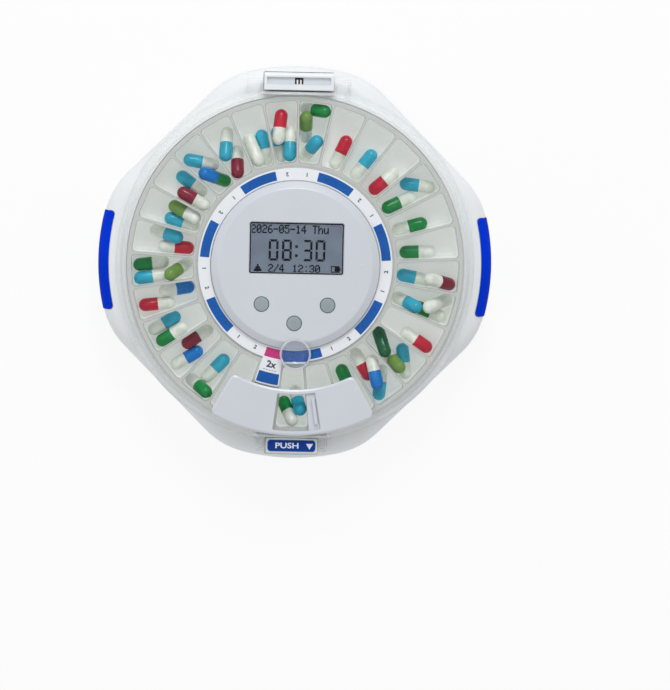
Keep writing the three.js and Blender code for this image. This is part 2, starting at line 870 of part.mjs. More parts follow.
function coil(radius, [bottom, top], [x, y]) {
  const path = new Helix(radius, bottom + springWire, top - springWire, springTurns);
  const section = new THREE.Shape(circle(springWire, springSides));
  const steps = springTurns * springStepsPerTurn;
  const geometry = new THREE.ExtrudeGeometry(section, { steps, extrudePath: path, bevelEnabled: false });
  return solidOf(geometry.translate(x, y, 0));
}

const latchSpring = () =>
  coil(springRadius, [pocketFloor + fitGap, latchLevels().under - fitGap], [0, latchSpringY()]);

// Lock

const lockMiddle = (lockTopInner + lockTopOuter) / 2;
const lockTop = lidSeat + lockRise;
const grooveFloor = lockTop - lockGroove;
const sliderTop = grooveFloor - keyPlate - sliderGap;

function lockHousing() {
  const body = alongX([
    [lockInner, pocketFloor],
    [lockInner, lockTop],
    [lockOuter - lockBevel, lockTop],
    [lockOuter, lockTop - lockBevel],
    [lockOuter, pocketFloor],
  ], [-lockHalf, lockHalf]);
  const groove = block([-lockHalf + lockEnd, lockHalf - lockEnd], [lockTopInner, lockTopOuter],
    [grooveFloor, lockTop + overrun]);
  const room = block([-sliderWidth / 2 - fitGap, sliderWidth / 2 + fitGap],
    [lockMiddle - sliderDepth / 2 - fitGap, lockMiddle + sliderDepth / 2 + fitGap],
    [pocketFloor - overrun, sliderTop + sliderGap]);
  return body.subtract(groove).subtract(room).subtract(keySlots());
}

// Three prong slots joined by a bar, for a forked key
function keySlots() {
  const height = [sliderTop, grooveFloor + overrun];
  const pitch = (keyWidth - keyProngWidth) / (keyProngs - 1);
  const [front, rear] = [lockMiddle - keyDepth / 2, lockMiddle + keyDepth / 2];
  const slots = between(0, keyProngs - 1, keyProngs - 1).map((i) => {
    const left = -keyWidth / 2 + i * pitch;
    return block([left, left + keyProngWidth], [front, rear], height);
  });
  return joined([...slots, block([-keyWidth / 2, keyWidth / 2], [rear - keyBarDepth, rear], height)]);
}

function lockSlider() {
  const body = block([-sliderWidth / 2, sliderWidth / 2],
    [lockMiddle - sliderDepth / 2, lockMiddle + sliderDepth / 2], [sliderTop - sliderHeight, sliderTop]);
  const seat = rod(lockSpringRadius + springWire + fitGap,
    [sliderTop - sliderHeight - overrun, sliderTop - sliderHeight / 2], [0, lockMiddle], screwSteps);
  return body.subtract(seat);
}

const lockSpring = () =>
  coil(lockSpringRadius, [pocketFloor + fitGap, sliderTop - sliderHeight / 2 - fitGap], [0, lockMiddle]);

// Lid

function clearLid() {
  const top = between(0, quarter, edgeSteps).map((angle) => [
    lidRadius - lidEdge * (1 - Math.cos(angle)),
    lidTop - lidEdge * (1 - Math.sin(angle)),
  ]);
  let lid = turned([
    [lidBore, lidUnder],
    [lidRadius - lidThickness, lidUnder],
    [skirtRadius - lidThickness, lidSeat],
    [skirtRadius, lidSeat],
    ...top,
    [lidBore, lidTop],
  ]);
  for (const side of [-1, 1]) {
    const half = side < 0 ? latchHalf : lockHalf + 2 * fitGap;
    lid = lid.subtract(facing(side, [-half, half], [lidFace, skirtRadius + overrun],
      [lidSeat - overrun, lidTop + overrun]));
    lid = lid.add(facing(side, [-half - cheekWall, half + cheekWall], [lidFace - lidFaceWall, lidFace],
      [rimTop + lidRimGap, lidTop - lidEdge / 2]));
    const width = side < 0 ? cheekWidth : earWidth;
    const reach = side < 0 ? cheekReach : earReach;
    for (const hand of [-1, 1]) {
      const span = (a, b) => hand < 0 ? [-b, -a] : [a, b];
      lid = lid.add(facing(side, span(half, half + width), [channelRadius, reach],
        [lidSeat, lidTop - cheekDrop]));
      lid = lid.subtract(facing(side, span(half + cheekWall, half + width - cheekWall),
        [lidFace, reach - cheekWall], [lidSeat - overrun, lidTop - cheekDrop - cheekWall]));
    }
  }
  const rimRoom = rod(channelRadius + channelWall + fitGap, [lidSeat - overrun, rimTop + fitGap],
    [0, 0], bigSteps);
  return lid.subtract(rimRoom).subtract(windowCut([windowInner, windowOuter], windowFromAngle, windowToAngle,
    [lidUnder - overrun, lidTop + overrun]));
}

// A box whose second span is a reach outwards, to the rear (side 1) or to the front (side -1)
function facing(side, spanX, [near, far], spanZ) {
  return block(spanX, side < 0 ? [-far, -near] : [near, far], spanZ);
}

function windowCut(radii, from, to, heights) {
  const turns = [toRadians(frontAngle + from), toRadians(frontAngle + to)];
  return plate(sector(radii, turns, cornerPoints), heights);
}

// Dispense panel: a bevelled cover, hollow underneath, where the door slides
function dispensePanel() {
  const turns = [toRadians(frontAngle - panelHalfAngle), toRadians(frontAngle + panelHalfAngle)];
  const ring = (inset, z) => {
    const ends = [turns[0] + inset / panelInner, turns[1] - inset / panelInner];
    return { points: sector([panelInner + inset, panelOuter - inset], ends, panelSteps, panelCorner), z };
  };
  const top = lidTop + panelHeight;
  const outside = loft([ring(0, lidTop), ring(0, top - panelBevel), ring(panelBevel, top)]);
  const hollow = loft([ring(panelWall, lidTop - overrun), ring(panelWall, top - panelTop)]);
  return outside.subtract(hollow).subtract(
    windowCut([windowInner - slideOverlap / 2, windowOuter + slideOverlap / 2], panelCutFromAngle, panelCutToAngle,
      [lidTop - overrun, top + overrun]));
}

function dispenseDoor() {
  const bottom = lidTop + doorSlip;
  const inner = windowInner - slideOverlap;
  const outer = windowOuter + slideOverlap;
  const slide = windowCut([inner, outer], windowToAngle, windowToAngle + slideAngle,
    [bottom, bottom + slideThickness]);
  const rib = block([windowInner + ribInset, windowOuter - ribInset], [-ribWidth / 2, ribWidth / 2],
    [bottom + slideThickness - rootDepth, bottom + slideThickness + ribHeight]);
  const turnedRib = geometryOf(rib).rotateZ(toRadians(frontAngle + ribAngle));
  return slide.add(solidOf(turnedRib));
}

function doseLens() {
  const under = hubFace + fitGap;
  const top = under + lensEdge;
  const place = [lensShift, -lensReach];
  const disc = turned([
    [0, under],
    [lensRadius, under],
    [lensRadius, top],
    [lensRadius / 2, top + lensDome * lensCrownShare],
    [0, top + lensDome],
  ], middleSteps, place);
  const wall = tube(lensRadius - lensWall, lensRadius, [lidTop, under + rootDepth], place, middleSteps);
  const hub = rod(lidBore + fitGap, [lidTop - overrun, under], [0, 0], bigSteps);
  return disc.add(wall.subtract(hub));
}

// Tray, ring gear and dosage ring

const slotAngle = (slot) => toRadians(frontAngle + slot * slotTurn);

function pocket(slot, heights, draft) {
  const [floor, rise] = heights;
  const ring = (inset, z) => {
    const inner = trayInner + trayInnerWall + inset;
    const outer = trayFootRadius - trayWall - inset;
    const half = toRadians(slotTurn / 2);
    const side = trayDivider / 2 + inset;
    const innerTurn = half - Math.asin(side / inner);
    const outerTurn = half - Math.asin(side / outer);
    const angle = slotAngle(slot);
    const points = [
      ...between(-outerTurn, outerTurn, pocketArcSteps).map((turn) => polar(outer, angle + turn)),
      ...between(innerTurn, -innerTurn, pocketArcSteps).map((turn) => polar(inner, angle + turn)),
    ];
    return { points, z };
  };
  const middle = THREE.MathUtils.lerp(floor, rise, pocketRoundShare);
  return loft([ring(pocketRound + draft, floor), ring(draft, middle), ring(0, rise)]);
}

function pillTray() {
  let tray = turned([
    [trayInner, trayUnder],
    [trayFootRadius, trayUnder],
    [trayRadius, trayTop],
    [trayBore, trayTop],
    [trayBore, flangeUnder],
    [trayInner, flangeUnder],
  ], ringStepsPerSlot * cellSlots);
  for (let slot = 0; slot < cellSlots - 1; slot++) {
    tray = tray.subtract(pocket(slot, [trayFloor, trayTop + fitGap], trayDraft));
  }
  for (let skid = 0; skid < skidCount; skid++) tray = tray.add(traySkid(skid));
  return tray.subtract(pocket(homeSlot, [trayTop - trayFloorThickness, skidUnder - overrun], trayDraft));
}

// A slide pad under the tray's floor
function traySkid(skid) {
  const middle = (trayInner + trayFootRadius) / 2;
  const pad = block([middle - skidLength / 2, middle + skidLength / 2], [-skidWidth / 2, skidWidth / 2],
    [skidUnder, trayUnder + rootDepth]);
  return solidOf(geometryOf(pad).rotateZ(2 * Math.PI * skid / skidCount));
}

function dosageRing() {
  const ring = tube(trayBore, ringOuter, [trayTop, ringTop], [0, 0], ringStepsPerSlot * cellSlots);
  const middle = slotAngle(homeSlot);
  const half = toRadians(slotTurn / 2) - tabGap / ringOuter;
  const tab = plate(sector([ringOuter - ringThickness, tabReach], [middle - half, middle + half],
    cornerPoints, ringThickness), [trayTop, ringTop]);
  return ring.add(tab);
}

const involute = (angle) => Math.tan(angle) - angle;

// Half the angle of a tooth (or of the space of a ring gear) at a radius, widened by slack
function toothHalf(teeth, radius, slack) {
  const pitch = gearModule * teeth / 2;
  const base = pitch * Math.cos(toRadians(pressureAngle));
  const flank = radius > base ? involute(Math.acos(base / radius)) : 0;
  return Math.PI / (2 * teeth) + involute(toRadians(pressureAngle)) - flank + slack / pitch;
}

function toothed(teeth, radii, slack) {
  return between(0, teeth - 1, teeth - 1).flatMap((tooth) => {
    const middle = 2 * Math.PI * tooth / teeth;
    const rising = radii.map((radius) => polar(radius, middle - toothHalf(teeth, radius, slack)));
    const falling = radii.map((radius) => polar(radius, middle + toothHalf(teeth, radius, slack)));
    return [...rising, ...falling.reverse()];
  });
}

function ringGear() {
  const radii = [ringPitch - gearModule, ringPitch + rootDepthShare * gearModule];
  const spaces = toothed(ringTeeth, radii, backlash / 4);
  return plate(circle(trayInner - fitGap, bigSteps), [pinionBottom, flangeUnder], [spaces]);
}

function pinion() {
  const radii = [pinionPitch - rootDepthShare * gearModule, pinionPitch, pinionPitch + gearModule];
  const teeth = toothed(pinionTeeth, radii, -backlash / 4);
  return plate(teeth, [pinionBottom, pinionTop], [circle(shaftRadius + fitGap, screwSteps)]);
}

function gearMotor() {
  const axis = [-motorReach, 0];
  const shaft = [-shaftReach, 0];
  const ears = earPlaces.map((place) =>
    rod(motorEarRadius, [motorTop - motorEarThickness, motorTop], place, bossSteps));
  const bar = block([-motorReach - motorEarRadius, -motorReach + motorEarRadius],
    [-motorEarReach, motorEarReach], [motorTop - motorEarThickness, motorTop]);
  let motor = joined([
    rod(motorRadius, [bayTop, motorTop], axis, middleSteps),
    bar,
    ...ears,
    rod(motorCapRadius, [motorTop - motorCapHeight, motorTop + motorCapHeight], shaft),
    rod(shaftRadius, [motorTop, pinionTop], shaft, screwSteps),
  ]);
  for (const place of earPlaces) {
    motor = motor.subtract(rod(earScrewRadius + fitGap, [motorTop - overrun, motorTop + overrun], place,
      screwSteps));
  }
  return motor;
}

// A screw with its head up (rise 1) or down (rise -1), its head seated at a height
function screw([radius, length], [headRadius, headHeight], seat, rise, place) {
  const edge = headHeight / 3;
  const profile = [
    [0, seat - rise * length],
    [radius - edge / 2, seat - rise * length],
    [radius, seat - rise * (length - edge)],
    [radius, seat],
    [headRadius, seat],
    [headRadius, seat + rise * (headHeight - edge)],
    [headRadius - edge, seat + rise * headHeight],
    [0, seat + rise * headHeight],
  ];
  return turned(profile, screwSteps, place);
}

// Control panel and electronics

const displayOutline = (grow, corner = displayCorner) => rounded(
  [displayCentreX - displayWidth / 2 - grow, displayCentreX + displayWidth / 2 + grow],
  [displayCentreY - displayHeight / 2 - grow, displayCentreY + displayHeight / 2 + grow],
  corner,
);
const lensSeat = hubFace - lensSink - lensThickness;
const buttonPlaces = [[-buttonSideX, buttonSideY], [0, buttonCentreY], [buttonSideX, buttonSideY]];

function controlPanel() {
  const spigotRadius = hubBore - fitGap;
  let panel = turned([
    [0, faceUnder],
    [spigotRadius - spigotWall, faceUnder],
    [spigotRadius - spigotWall, columnTop - spigotLap],
    [spigotRadius, columnTop - spigotLap],
    [spigotRadius, columnTop],
    [hubRadius, columnTop],
    [hubRadius, hubFace - bevelDrop],
    [faceRadius, hubFace],
    [0, hubFace],
  ], hubSteps);
  for (const place of postPlaces) {
    panel = panel.add(rod(panelPostRadius, [boardTop, faceUnder + rootDepth], place));
    panel = panel.subtract(rod(boardScrewRadius + fitGap,
      [boardTop - overrun, boardTop + boardScrewLength], place, screwSteps));
  }
  panel = panel.subtract(plate(displayOutline(fitGap), [lensSeat, hubFace + overrun]));
  panel = panel.subtract(plate(displayOutline(-displayLip), [faceUnder - overrun, hubFace]));
  for (const place of buttonPlaces) {
    panel = panel.subtract(rod(buttonRadius + fitGap, [faceUnder - overrun, hubFace + overrun], place));
  }
  return panel;
}

const displayLens = () => plate(displayOutline(0), [lensSeat, lensSeat + lensThickness]);

function displayModule() {
  const glassTop = faceUnder - fitGap;
  const body = plate(displayOutline(-moduleMargin), [boardTop, glassTop]);
  const view = plate(displayOutline(-moduleMargin - moduleBezel),
    [glassTop - moduleStep, glassTop + overrun]);
  return body.subtract(view);
}

function mainBoard() {
  let board = rod(boardRadius, [boardUnder, boardTop], [0, 0], middleSteps);
  for (const place of postPlaces) {
    board = board.subtract(rod(boardScrewRadius + fitGap, [boardUnder - overrun, boardTop + overrun],
      place, screwSteps));
  }
  return board;
}

function tactSwitch([x, y]) {
  const half = switchSize / 2;
  const body = block([x - half, x + half], [y - half, y + half], [boardTop, boardTop + switchHeight]);
  const top = buttonFlangeUnder - buttonTravel - plungerGap;
  return body.add(rod(plungerRadius, [boardTop, top], [x, y], screwSteps));
}

const buttonFlangeUnder = faceUnder - fitGap - buttonFlangeHeight;

function buttonCap(place) {
  const flange = buttonFlangeUnder + buttonFlangeHeight;
  const top = hubFace + buttonProud;
  return turned([
    [0, buttonFlangeUnder],
    [buttonRadius + buttonFlange, buttonFlangeUnder],
    [buttonRadius + buttonFlange, flange],
    [buttonRadius, flange],
    [buttonRadius, top - buttonEdge],
    [buttonRadius - buttonEdge, top],
    [0, top],
  ], smallSteps, place);
}

function indexSensor() {
  const body = block([sensorReach - sensorWidth / 2, sensorReach + sensorWidth / 2],
    [-sensorLength / 2, sensorLength / 2], [boardUnder - sensorHeight, boardUnder]);
  const face = sensorReach + sensorWidth / 2;
  const eyes = [-1, 1].map((side) => rodAlongX(sensorEyeRadius, [face - rootDepth, face + sensorEyeProud],
    [side * sensorEyeSpacing / 2, boardUnder - sensorHeight / 2], screwSteps));
  return joined([body, ...eyes]);
}

const tiltSensor = () => rod(tiltRadius, [boardUnder - tiltHeight, boardUnder], [tiltX, tiltY], screwSteps);

function buzzer() {
  const place = [buzzerX, 0];
  const can = rod(buzzerRadius, [floorTop, floorTop + buzzerHeight], place);
  return can.subtract(rod(buzzerHole, [floorTop - overrun, floorTop + buzzerSound], place, screwSteps));
}

// Batteries

const cellY = (cell) => (cell - (cellCount - 1) / 2) * (2 * cellRadius + cellGap);

function batteryCell(cell) {
  const half = (cellBody + nubLength) / 2;
  const geometry = geometryOf(turned([
    [0, -half],
    [cellRadius - cellEdge, -half],
    [cellRadius, -half + cellEdge],
    [cellRadius, half - nubLength - cellEdge],
    [cellRadius - cellEdge, half - nubLength],
    [nubRadius, half - nubLength],
    [nubRadius, half],
    [0, half],
  ], smallSteps));
  const way = cell % 2 ? quarter : -quarter;
  return solidOf(geometry.rotateY(way).translate(0, cellY(cell), cellAxis));
}

// A strip with a cone towards each cell, at the bay's left (side -1) or right (side 1) end
function batteryContact(side) {
  const face = bayHalfX - contactPlate;
  const tip = (cellBody + nubLength) / 2 + fitGap;
  const half = bayHalfY - cellGap;
  const ends = [side * bayHalfX, side * face].sort((a, b) => a - b);
  const strip = block(ends, [-half, half], [cellAxis - contactHeight / 2, cellAxis + contactHeight / 2]);
  const cones = between(0, cellCount - 1, cellCount - 1).map((cell) => {
    const root = face + contactPlate / 2;
    const profile = [[0, root], [contactRadius, root], [contactRadius, face], [contactTip, tip], [0, tip]];
    const cone = geometryOf(turned(profile, screwSteps));
    return solidOf(cone.rotateY(side * quarter).translate(0, cellY(cell), cellAxis));
  });
  return joined([strip, ...cones]);
}

// Assembly

const pillBox = new THREE.Group();

function add(name, solid, material, parent = pillBox) {
  const mesh = new THREE.Mesh(geometryOf(solid), material);
  mesh.name = name;
  parent.add(mesh);
  return mesh;
}

add("bottom_shell", bottomShell(), caseWhite);
add("top_shell", topShell(), caseWhite);
add("battery_door", batteryDoor(), caseWhite);
add("grip_left", grip(-1), gripBlue);
add("grip_right", grip(1), gripBlue);
const footNames = ["right", "rear", "left", "front"];
footPlaces.forEach(([x, y], i) => add(`foot_${footNames[i]}`, foot(), rubberGrey).position.set(x, y, 0));
screwPlaces.forEach((place, i) => add(`housing_screw_${i + 1}`, screw([screwRadius, screwLength],
  [screwHeadRadius, screwHeadHeight], screwHeadSeat, -1, place), steel));

for (let cell = 0; cell < cellCount; cell++) add(`battery_${cell + 1}`, batteryCell(cell), cellWrap);
add("battery_contact_left", batteryContact(-1), steel);
add("battery_contact_right", batteryContact(1), steel);
add("buzzer", buzzer(), darkPlastic);

add("gear_motor", gearMotor(), steel);
earPlaces.forEach((place, i) => add(`motor_screw_${i + 1}`, screw([earScrewRadius, earScrewLength],
  [earScrewHead, earScrewHeadHeight], motorTop, 1, place), steel));
add("motor_pinion", pinion(), gearWhite).position.set(-shaftReach, 0, 0);

add("pill_tray", pillTray(), trayClear);
add("tray_ring_gear", ringGear(), gearWhite);
add("dosage_ring", dosageRing(), ringWhite);

add("control_panel", controlPanel(), panelWhite);
add("display_lens", displayLens(), lensClear);
add("display_module", displayModule(), displayGrey);
add("main_board", mainBoard(), boardGreen);
add("index_sensor", indexSensor(), darkPlastic);
add("tilt_sensor", tiltSensor(), steel);
postPlaces.forEach((place, i) => add(`board_screw_${i + 1}`, screw([boardScrewRadius,
  boardThickness + boardScrewLength - fitGap], [boardScrewHead, boardScrewHeadHeight],
boardUnder, -1, place), steel));
const buttonNames = ["left", "middle", "right"];
buttonPlaces.forEach((place, i) => {
  add(`switch_${buttonNames[i]}`, tactSwitch(place), darkPlastic);
  add(`button_${buttonNames[i]}`, buttonCap(place), buttonGrey);
});

add("clear_lid", clearLid(), lidClear);
add("dose_lens", doseLens(), lensClear);
add("dispense_panel", dispensePanel(), panelWhite);
add("dispense_door", dispenseDoor(), panelWhite);

add("latch_button", latchButton(), panelWhite);
add("latch_label", latchLabel(), labelBlue);
add("latch_spring", latchSpring(), steel);
add("lock_housing", lockHousing(), caseWhite);
add("lock_slider", lockSlider(), darkPlastic);
add("lock_spring", lockSpring(), steel);

export default pillBox;
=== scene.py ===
# %% [markdown]
# An electronic pill box, dressed for a picture
#
# The object is a round, lobed dispenser that lies on a table. A motor turns a tray of cells under
# a clear lid, a small screen in the hub tells the time, and a door over one cell lets the pills out.
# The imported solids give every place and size. This lesson builds finer pieces over them, one real
# part at a time, and gives each its finish. Sizes are written in millimetres and angles in degrees.

# %% Load the frame
import math

import bmesh
import bpy
import numpy as np
from mathutils import Matrix, Vector


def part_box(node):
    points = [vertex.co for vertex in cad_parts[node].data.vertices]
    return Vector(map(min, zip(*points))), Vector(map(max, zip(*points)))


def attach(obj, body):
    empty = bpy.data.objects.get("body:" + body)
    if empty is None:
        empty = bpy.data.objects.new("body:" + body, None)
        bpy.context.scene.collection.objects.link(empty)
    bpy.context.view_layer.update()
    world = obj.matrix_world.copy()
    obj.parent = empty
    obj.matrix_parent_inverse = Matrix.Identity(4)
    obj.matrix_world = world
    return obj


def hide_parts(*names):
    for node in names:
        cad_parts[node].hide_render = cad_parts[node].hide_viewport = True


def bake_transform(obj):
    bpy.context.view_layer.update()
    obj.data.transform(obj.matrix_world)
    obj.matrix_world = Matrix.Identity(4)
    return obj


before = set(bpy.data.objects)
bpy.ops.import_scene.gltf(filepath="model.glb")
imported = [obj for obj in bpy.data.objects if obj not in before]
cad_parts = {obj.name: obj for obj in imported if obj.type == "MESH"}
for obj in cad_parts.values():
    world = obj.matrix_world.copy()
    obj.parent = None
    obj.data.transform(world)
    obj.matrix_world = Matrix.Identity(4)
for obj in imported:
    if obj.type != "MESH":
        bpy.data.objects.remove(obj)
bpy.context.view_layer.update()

MM = 0.001
print("solids loaded:", len(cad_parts))

# %% [markdown]
# The camera looks almost straight down, from a little to the rear, because the photograph
# shows the box face on. It stands three metres off with a long lens, so that the near and far
# edges come out at almost the same scale. The box isn't in the middle of the picture, so the
# camera is aimed a little off it instead of shifting its lens.

# %% Camera
PICTURE = (670, 690)
BOX_PIXEL = (294.7, 261.8)
FOCAL_PIXELS = 5272
CAMERA_DISTANCE = 3.0
AIM = Vector((0, 0, 0.014))
ROLL = math.radians(1.234)

towards_camera = Vector((-0.012, 0.06, 1)).normalized()
up = (Vector((0, 1, 0)) - towards_camera * towards_camera.y).normalized()
right = up.cross(towards_camera)
rolled_up = up * math.cos(ROLL) - right * math.sin(ROLL)
rolled_right = right * math.cos(ROLL) + up * math.sin(ROLL)
look_turn = Matrix((rolled_right, rolled_up, towards_camera)).transposed()
aim_ray = Vector(((BOX_PIXEL[0] - PICTURE[0] / 2) / FOCAL_PIXELS,
                  (PICTURE[1] / 2 - BOX_PIXEL[1]) / FOCAL_PIXELS, -1)).normalized()
aside = aim_ray.rotation_difference(Vector((0, 0, -1))).to_matrix()

bpy.ops.object.camera_add()
camera = bpy.context.object
camera.name = "camera"
camera.data.lens = FOCAL_PIXELS * camera.data.sensor_width / max(PICTURE)
camera.data.clip_start = 0.1
camera.rotation_mode = "QUATERNION"
camera.rotation_quaternion = (look_turn @ aside).to_quaternion()
camera.location = AIM + towards_camera * CAMERA_DISTANCE
bpy.context.scene.camera = camera
print("camera lens, mm:", round(camera.data.lens, 1))

# %% [markdown]
# Surfaces get their finish from nodes. Writing each node by hand hides the idea, so a small class
# wraps a node's socket: adding, multiplying or comparing two such values adds the Math node that
# does it. Every other node comes from one method, which takes the node's type, its settings and
# what feeds it. Colours are written as the eye sees them, from 0 to 255, and turned into light.

# %% Values that vary over a surface
def linear(red, green, blue):
    """The light of a colour given in 0 to 255, for a colour socket."""
    def one(part):
        share = part / 255
        return share / 12.92 if share <= 0.04045 else ((share + 0.055) / 1.055) ** 2.4
    return (one(red), one(green), one(blue), 1.0)


def deeper(light, share):
    """The same colour with a share of its light taken away."""
    return tuple(part * (1 - share) for part in light[:3]) + (1.0,)


class Value:
    """One output socket. Arithmetic on it adds Math nodes."""

    def __init__(self, look, socket):
        self.look, self.socket = look, socket

    def math(self, operation, *others):
        return self.look.node("ShaderNodeMath", {"operation": operation}, self, *others)

    def __add__(self, other):
        return self.math("ADD", other)

    __radd__ = __add__

    def __mul__(self, other):
        return self.math("MULTIPLY", other)

    def __sub__(self, other):
        return self.math("SUBTRACT", other)

    def above(self, limit):
        return self.math("GREATER_THAN", limit)

    def below(self, limit):
        return self.math("LESS_THAN", limit)

    def ramp(self, low, high):
        """0 below low, 1 above high, and smooth between."""
        return self.look.node("ShaderNodeMapRange", {"interpolation_type": "SMOOTHSTEP"},
                              self, low, high, 0.0, 1.0)


class Look:
    """One finish: a Principled shader and the nodes that feed it."""

    def __init__(self, name, color, roughness, **fixed):
        self.material = bpy.data.materials.new(name)
        self.material.use_nodes = True
        self.tree = self.material.node_tree
        self.shader = self.tree.nodes["Principled BSDF"]
        self.light = linear(*color)
        self.set("Base Color", self.light)
        self.set("Roughness", roughness)
        for socket, value in fixed.items():
            self.set(socket.replace("_", " "), value)
        self.place = self.node("ShaderNodeTexCoord", out="Object")

    def feed(self, socket, value):
        """Feeds a socket with a value that varies, a fixed one, or a colour in 0 to 255."""
        if isinstance(value, Value):
            self.tree.links.new(value.socket, socket)
        else:
            is_color = isinstance(value, tuple) and len(value) == 3
            socket.default_value = linear(*value) if is_color else value

    def set(self, socket, value):
        self.feed(self.shader.inputs[socket], value)

    def node(self, kind, settings=None, *values, out=0, **named):
        node = self.tree.nodes.new(kind)
        for key, value in (settings or {}).items():
            setattr(node, key, value)
        for socket, value in zip(node.inputs, values):
            self.feed(socket, value)
        for key, value in named.items():
            self.feed(node.inputs[key.replace("_", " ")], value)
        return Value(self, node.outputs[out])

    def noise(self, size, detail=2.0, roughness=0.5):
        """Cloudy values about 0.5, with spots of about this size."""
        return self.node("ShaderNodeTexNoise", None, Vector=self.place,
                         Scale=1 / (size * MM), Detail=detail, Roughness=roughness)

    def axis(self, name):
        return self.node("ShaderNodeSeparateXYZ", None, self.place, out="XYZ".index(name))

    def waves(self, axis, pitch, sway=None):
        """A sine wave along an axis, pushed to and fro by what sway says."""
        run = self.axis(axis) * (2 * math.pi / (pitch * MM))
        return (run + sway if sway else run).math("SINE")

    def mix(self, share, first, second):
        """One colour turning into another as the share goes from 0 to 1."""
        node = self.tree.nodes.new("ShaderNodeMix")
        node.data_type = "RGBA"
        for socket, value in zip((node.inputs[0], node.inputs[6], node.inputs[7]),
                                 (share, first, second)):
            self.feed(socket, value)
        return Value(self, node.outputs[2])

    def bump(self, height, depth):
        self.set("Normal", self.node("ShaderNodeBump", None, Strength=1.0,
                                     Distance=depth * MM, Height=height))


# %% [markdown]
# Nearly all of the box is injection moulded. Such plastic isn't one flat colour: it has a very fine
# grain from the mould, slow cloudy differences in gloss where hands have been, and it is a little
# lighter or darker in places. One function makes that finish, and each plastic only sets its
# colour, how glossy it is, and the size and depth of its grain. Inks take the card's fine grain.

# %% Moulded plastics
GLOSS_SPREAD = 0.07


def moulded(name, color, roughness, grain=0.35, depth=0.004, shade=0.05, **fixed):
    """A moulded plastic with a grain, slow cloudiness and uneven gloss."""
    look = Look(name, color, roughness, **fixed)
    cloud = look.noise(28)
    look.set("Base Color",
             look.mix(cloud.ramp(0.35, 0.65), deeper(look.light, shade), look.light))
    smears = look.noise(9, detail=4.0, roughness=0.62)
    look.set("Roughness", roughness + (smears - 0.5) * (2 * GLOSS_SPREAD))
    look.bump(look.noise(grain, detail=3.0), depth)
    return look


def ink(name, color, depth, shade, roughness=0.55, **fixed):
    return moulded(name, color, roughness, 0.16, depth, shade, **fixed)


case_white = moulded("case_satin_white", (230, 234, 236), 0.42, depth=0.006, shade=0.02)
panel_white = moulded("panel_cool_white", (206, 211, 219), 0.25, depth=0.003, shade=0.02)
ring_white = moulded("ring_card_white", (236, 239, 243), 0.5, grain=0.2, shade=0.03)
grip_blue = moulded("grip_soft_blue", (0, 54, 214), 0.62, 0.5, 0.03, 0.12, Specular_IOR_Level=0.03)
label_blue = moulded("latch_label_blue", (8, 58, 146), 0.28, grain=0.6, shade=0.08,
                     Specular_IOR_Level=0.15)
ring_blue = ink("ring_blue_ink", (22, 94, 178), 0.004, 0.16, Specular_IOR_Level=0.08)
ring_pink = ink("ring_pink_ink", (204, 60, 130), 0.004, 0.12, Specular_IOR_Level=0.08)
ink_dark = ink("ink_dark", (50, 54, 68), 0.002, 0.1)
ink_navy = ink("ink_navy", (18, 52, 122), 0.002, 0.1)
ink_white = ink("ink_white", (226, 232, 242), 0.002, 0.05, roughness=0.45)
button_grey = moulded("button_soft_grey", (150, 162, 166), 0.55, 0.25, 0.01, 0.08)
latch_pearl = moulded("latch_pearl", (212, 219, 224), 0.3)
lock_white = moulded("lock_frosted_white", (230, 234, 238), 0.38, shade=0.04)
lock_grey = moulded("lock_band_grey", (212, 219, 225), 0.32)
dark_plastic = moulded("hidden_dark_plastic", (42, 44, 48), 0.45, depth=0.008, shade=0.15)
gear_cream = moulded("gear_cream_nylon", (231, 227, 212), 0.5, depth=0.008, shade=0.06)
foot_rubber = moulded("foot_grey_rubber", (74, 78, 82), 0.85, 0.6, 0.04, 0.2)
print("plastics made:", len(bpy.data.materials))

# %% [markdown]
# The lid and the tray are clear plastic, but not like window glass. The lid shows almost nothing of
# itself face on, so its alpha is near zero there, and Layer Weight raises it towards the edges,
# where a real wall is seen through more of its own plastic. Its two end walls stand upright and are
# seen along their whole height, so they are made denser. The tray is milky and lets little
# through. Its walls carry light down to the cells' floors, and a weak glow, strongest at the floor
# and gone at the top, stands for that light. Only the small lens really bends light, so it alone
# is made as glass is, with transmission.

# %% Clear plastics
END_WALL, END_WALL_REACH = (95.9, 97.4), 21.5
FLOOR_GLOW_BELOW, NO_GLOW_ABOVE = 33, 44


def clear(name, color, roughness, thin, thick, haze=0.04, **fixed):
    """See-through plastic: alpha goes from thin, seen face on, to thick, seen along the wall."""
    look = Look(name, color, roughness, **fixed)
    edge = look.node("ShaderNodeLayerWeight", None, Blend=0.35, out="Facing")
    cloud = look.noise(16, detail=3.0)
    look.cover = thin + edge.ramp(0.25, 0.95) * (thick - thin) + (cloud - 0.5) * (2 * haze)
    look.set("Alpha", look.cover)
    look.set("Roughness", roughness + (look.noise(7, detail=4.0) - 0.5) * 0.08)
    look.bump(look.noise(11), 0.02)
    return look


lid_clear = clear("lid_see_through", (238, 243, 242), 0.12, 0.006, 0.5, haze=0.004)
sideways, outwards = [lid_clear.axis(name).math("ABSOLUTE") for name in "XY"]
in_end_wall = (outwards.above((END_WALL[0] - 0.05) * MM) * outwards.below((END_WALL[1] + 0.05) * MM)
               * sideways.below(END_WALL_REACH * MM))
lid_clear.set("Alpha", lid_clear.cover + in_end_wall * 0.5)
# The tray's emission is a painted glow: it lightens the shaded cell floors and fades out towards the
# top.
tray_clear = clear("tray_milky", (192, 195, 192), 0.35, 0.88, 0.95, Emission_Strength=1.0)
painted_glow_fade = tray_clear.axis("Z").ramp(FLOOR_GLOW_BELOW * MM, NO_GLOW_ABOVE * MM)
tray_clear.set("Emission Color", tray_clear.mix(painted_glow_fade, (144, 147, 145), (0, 0, 0)))
lens_frost = clear("lens_collar_frosted", (222, 225, 232), 0.45, 0.5, 0.75)
screen_clear = clear("screen_cover_clear", (190, 200, 210), 0.08, 0.01, 0.4, haze=0.004)

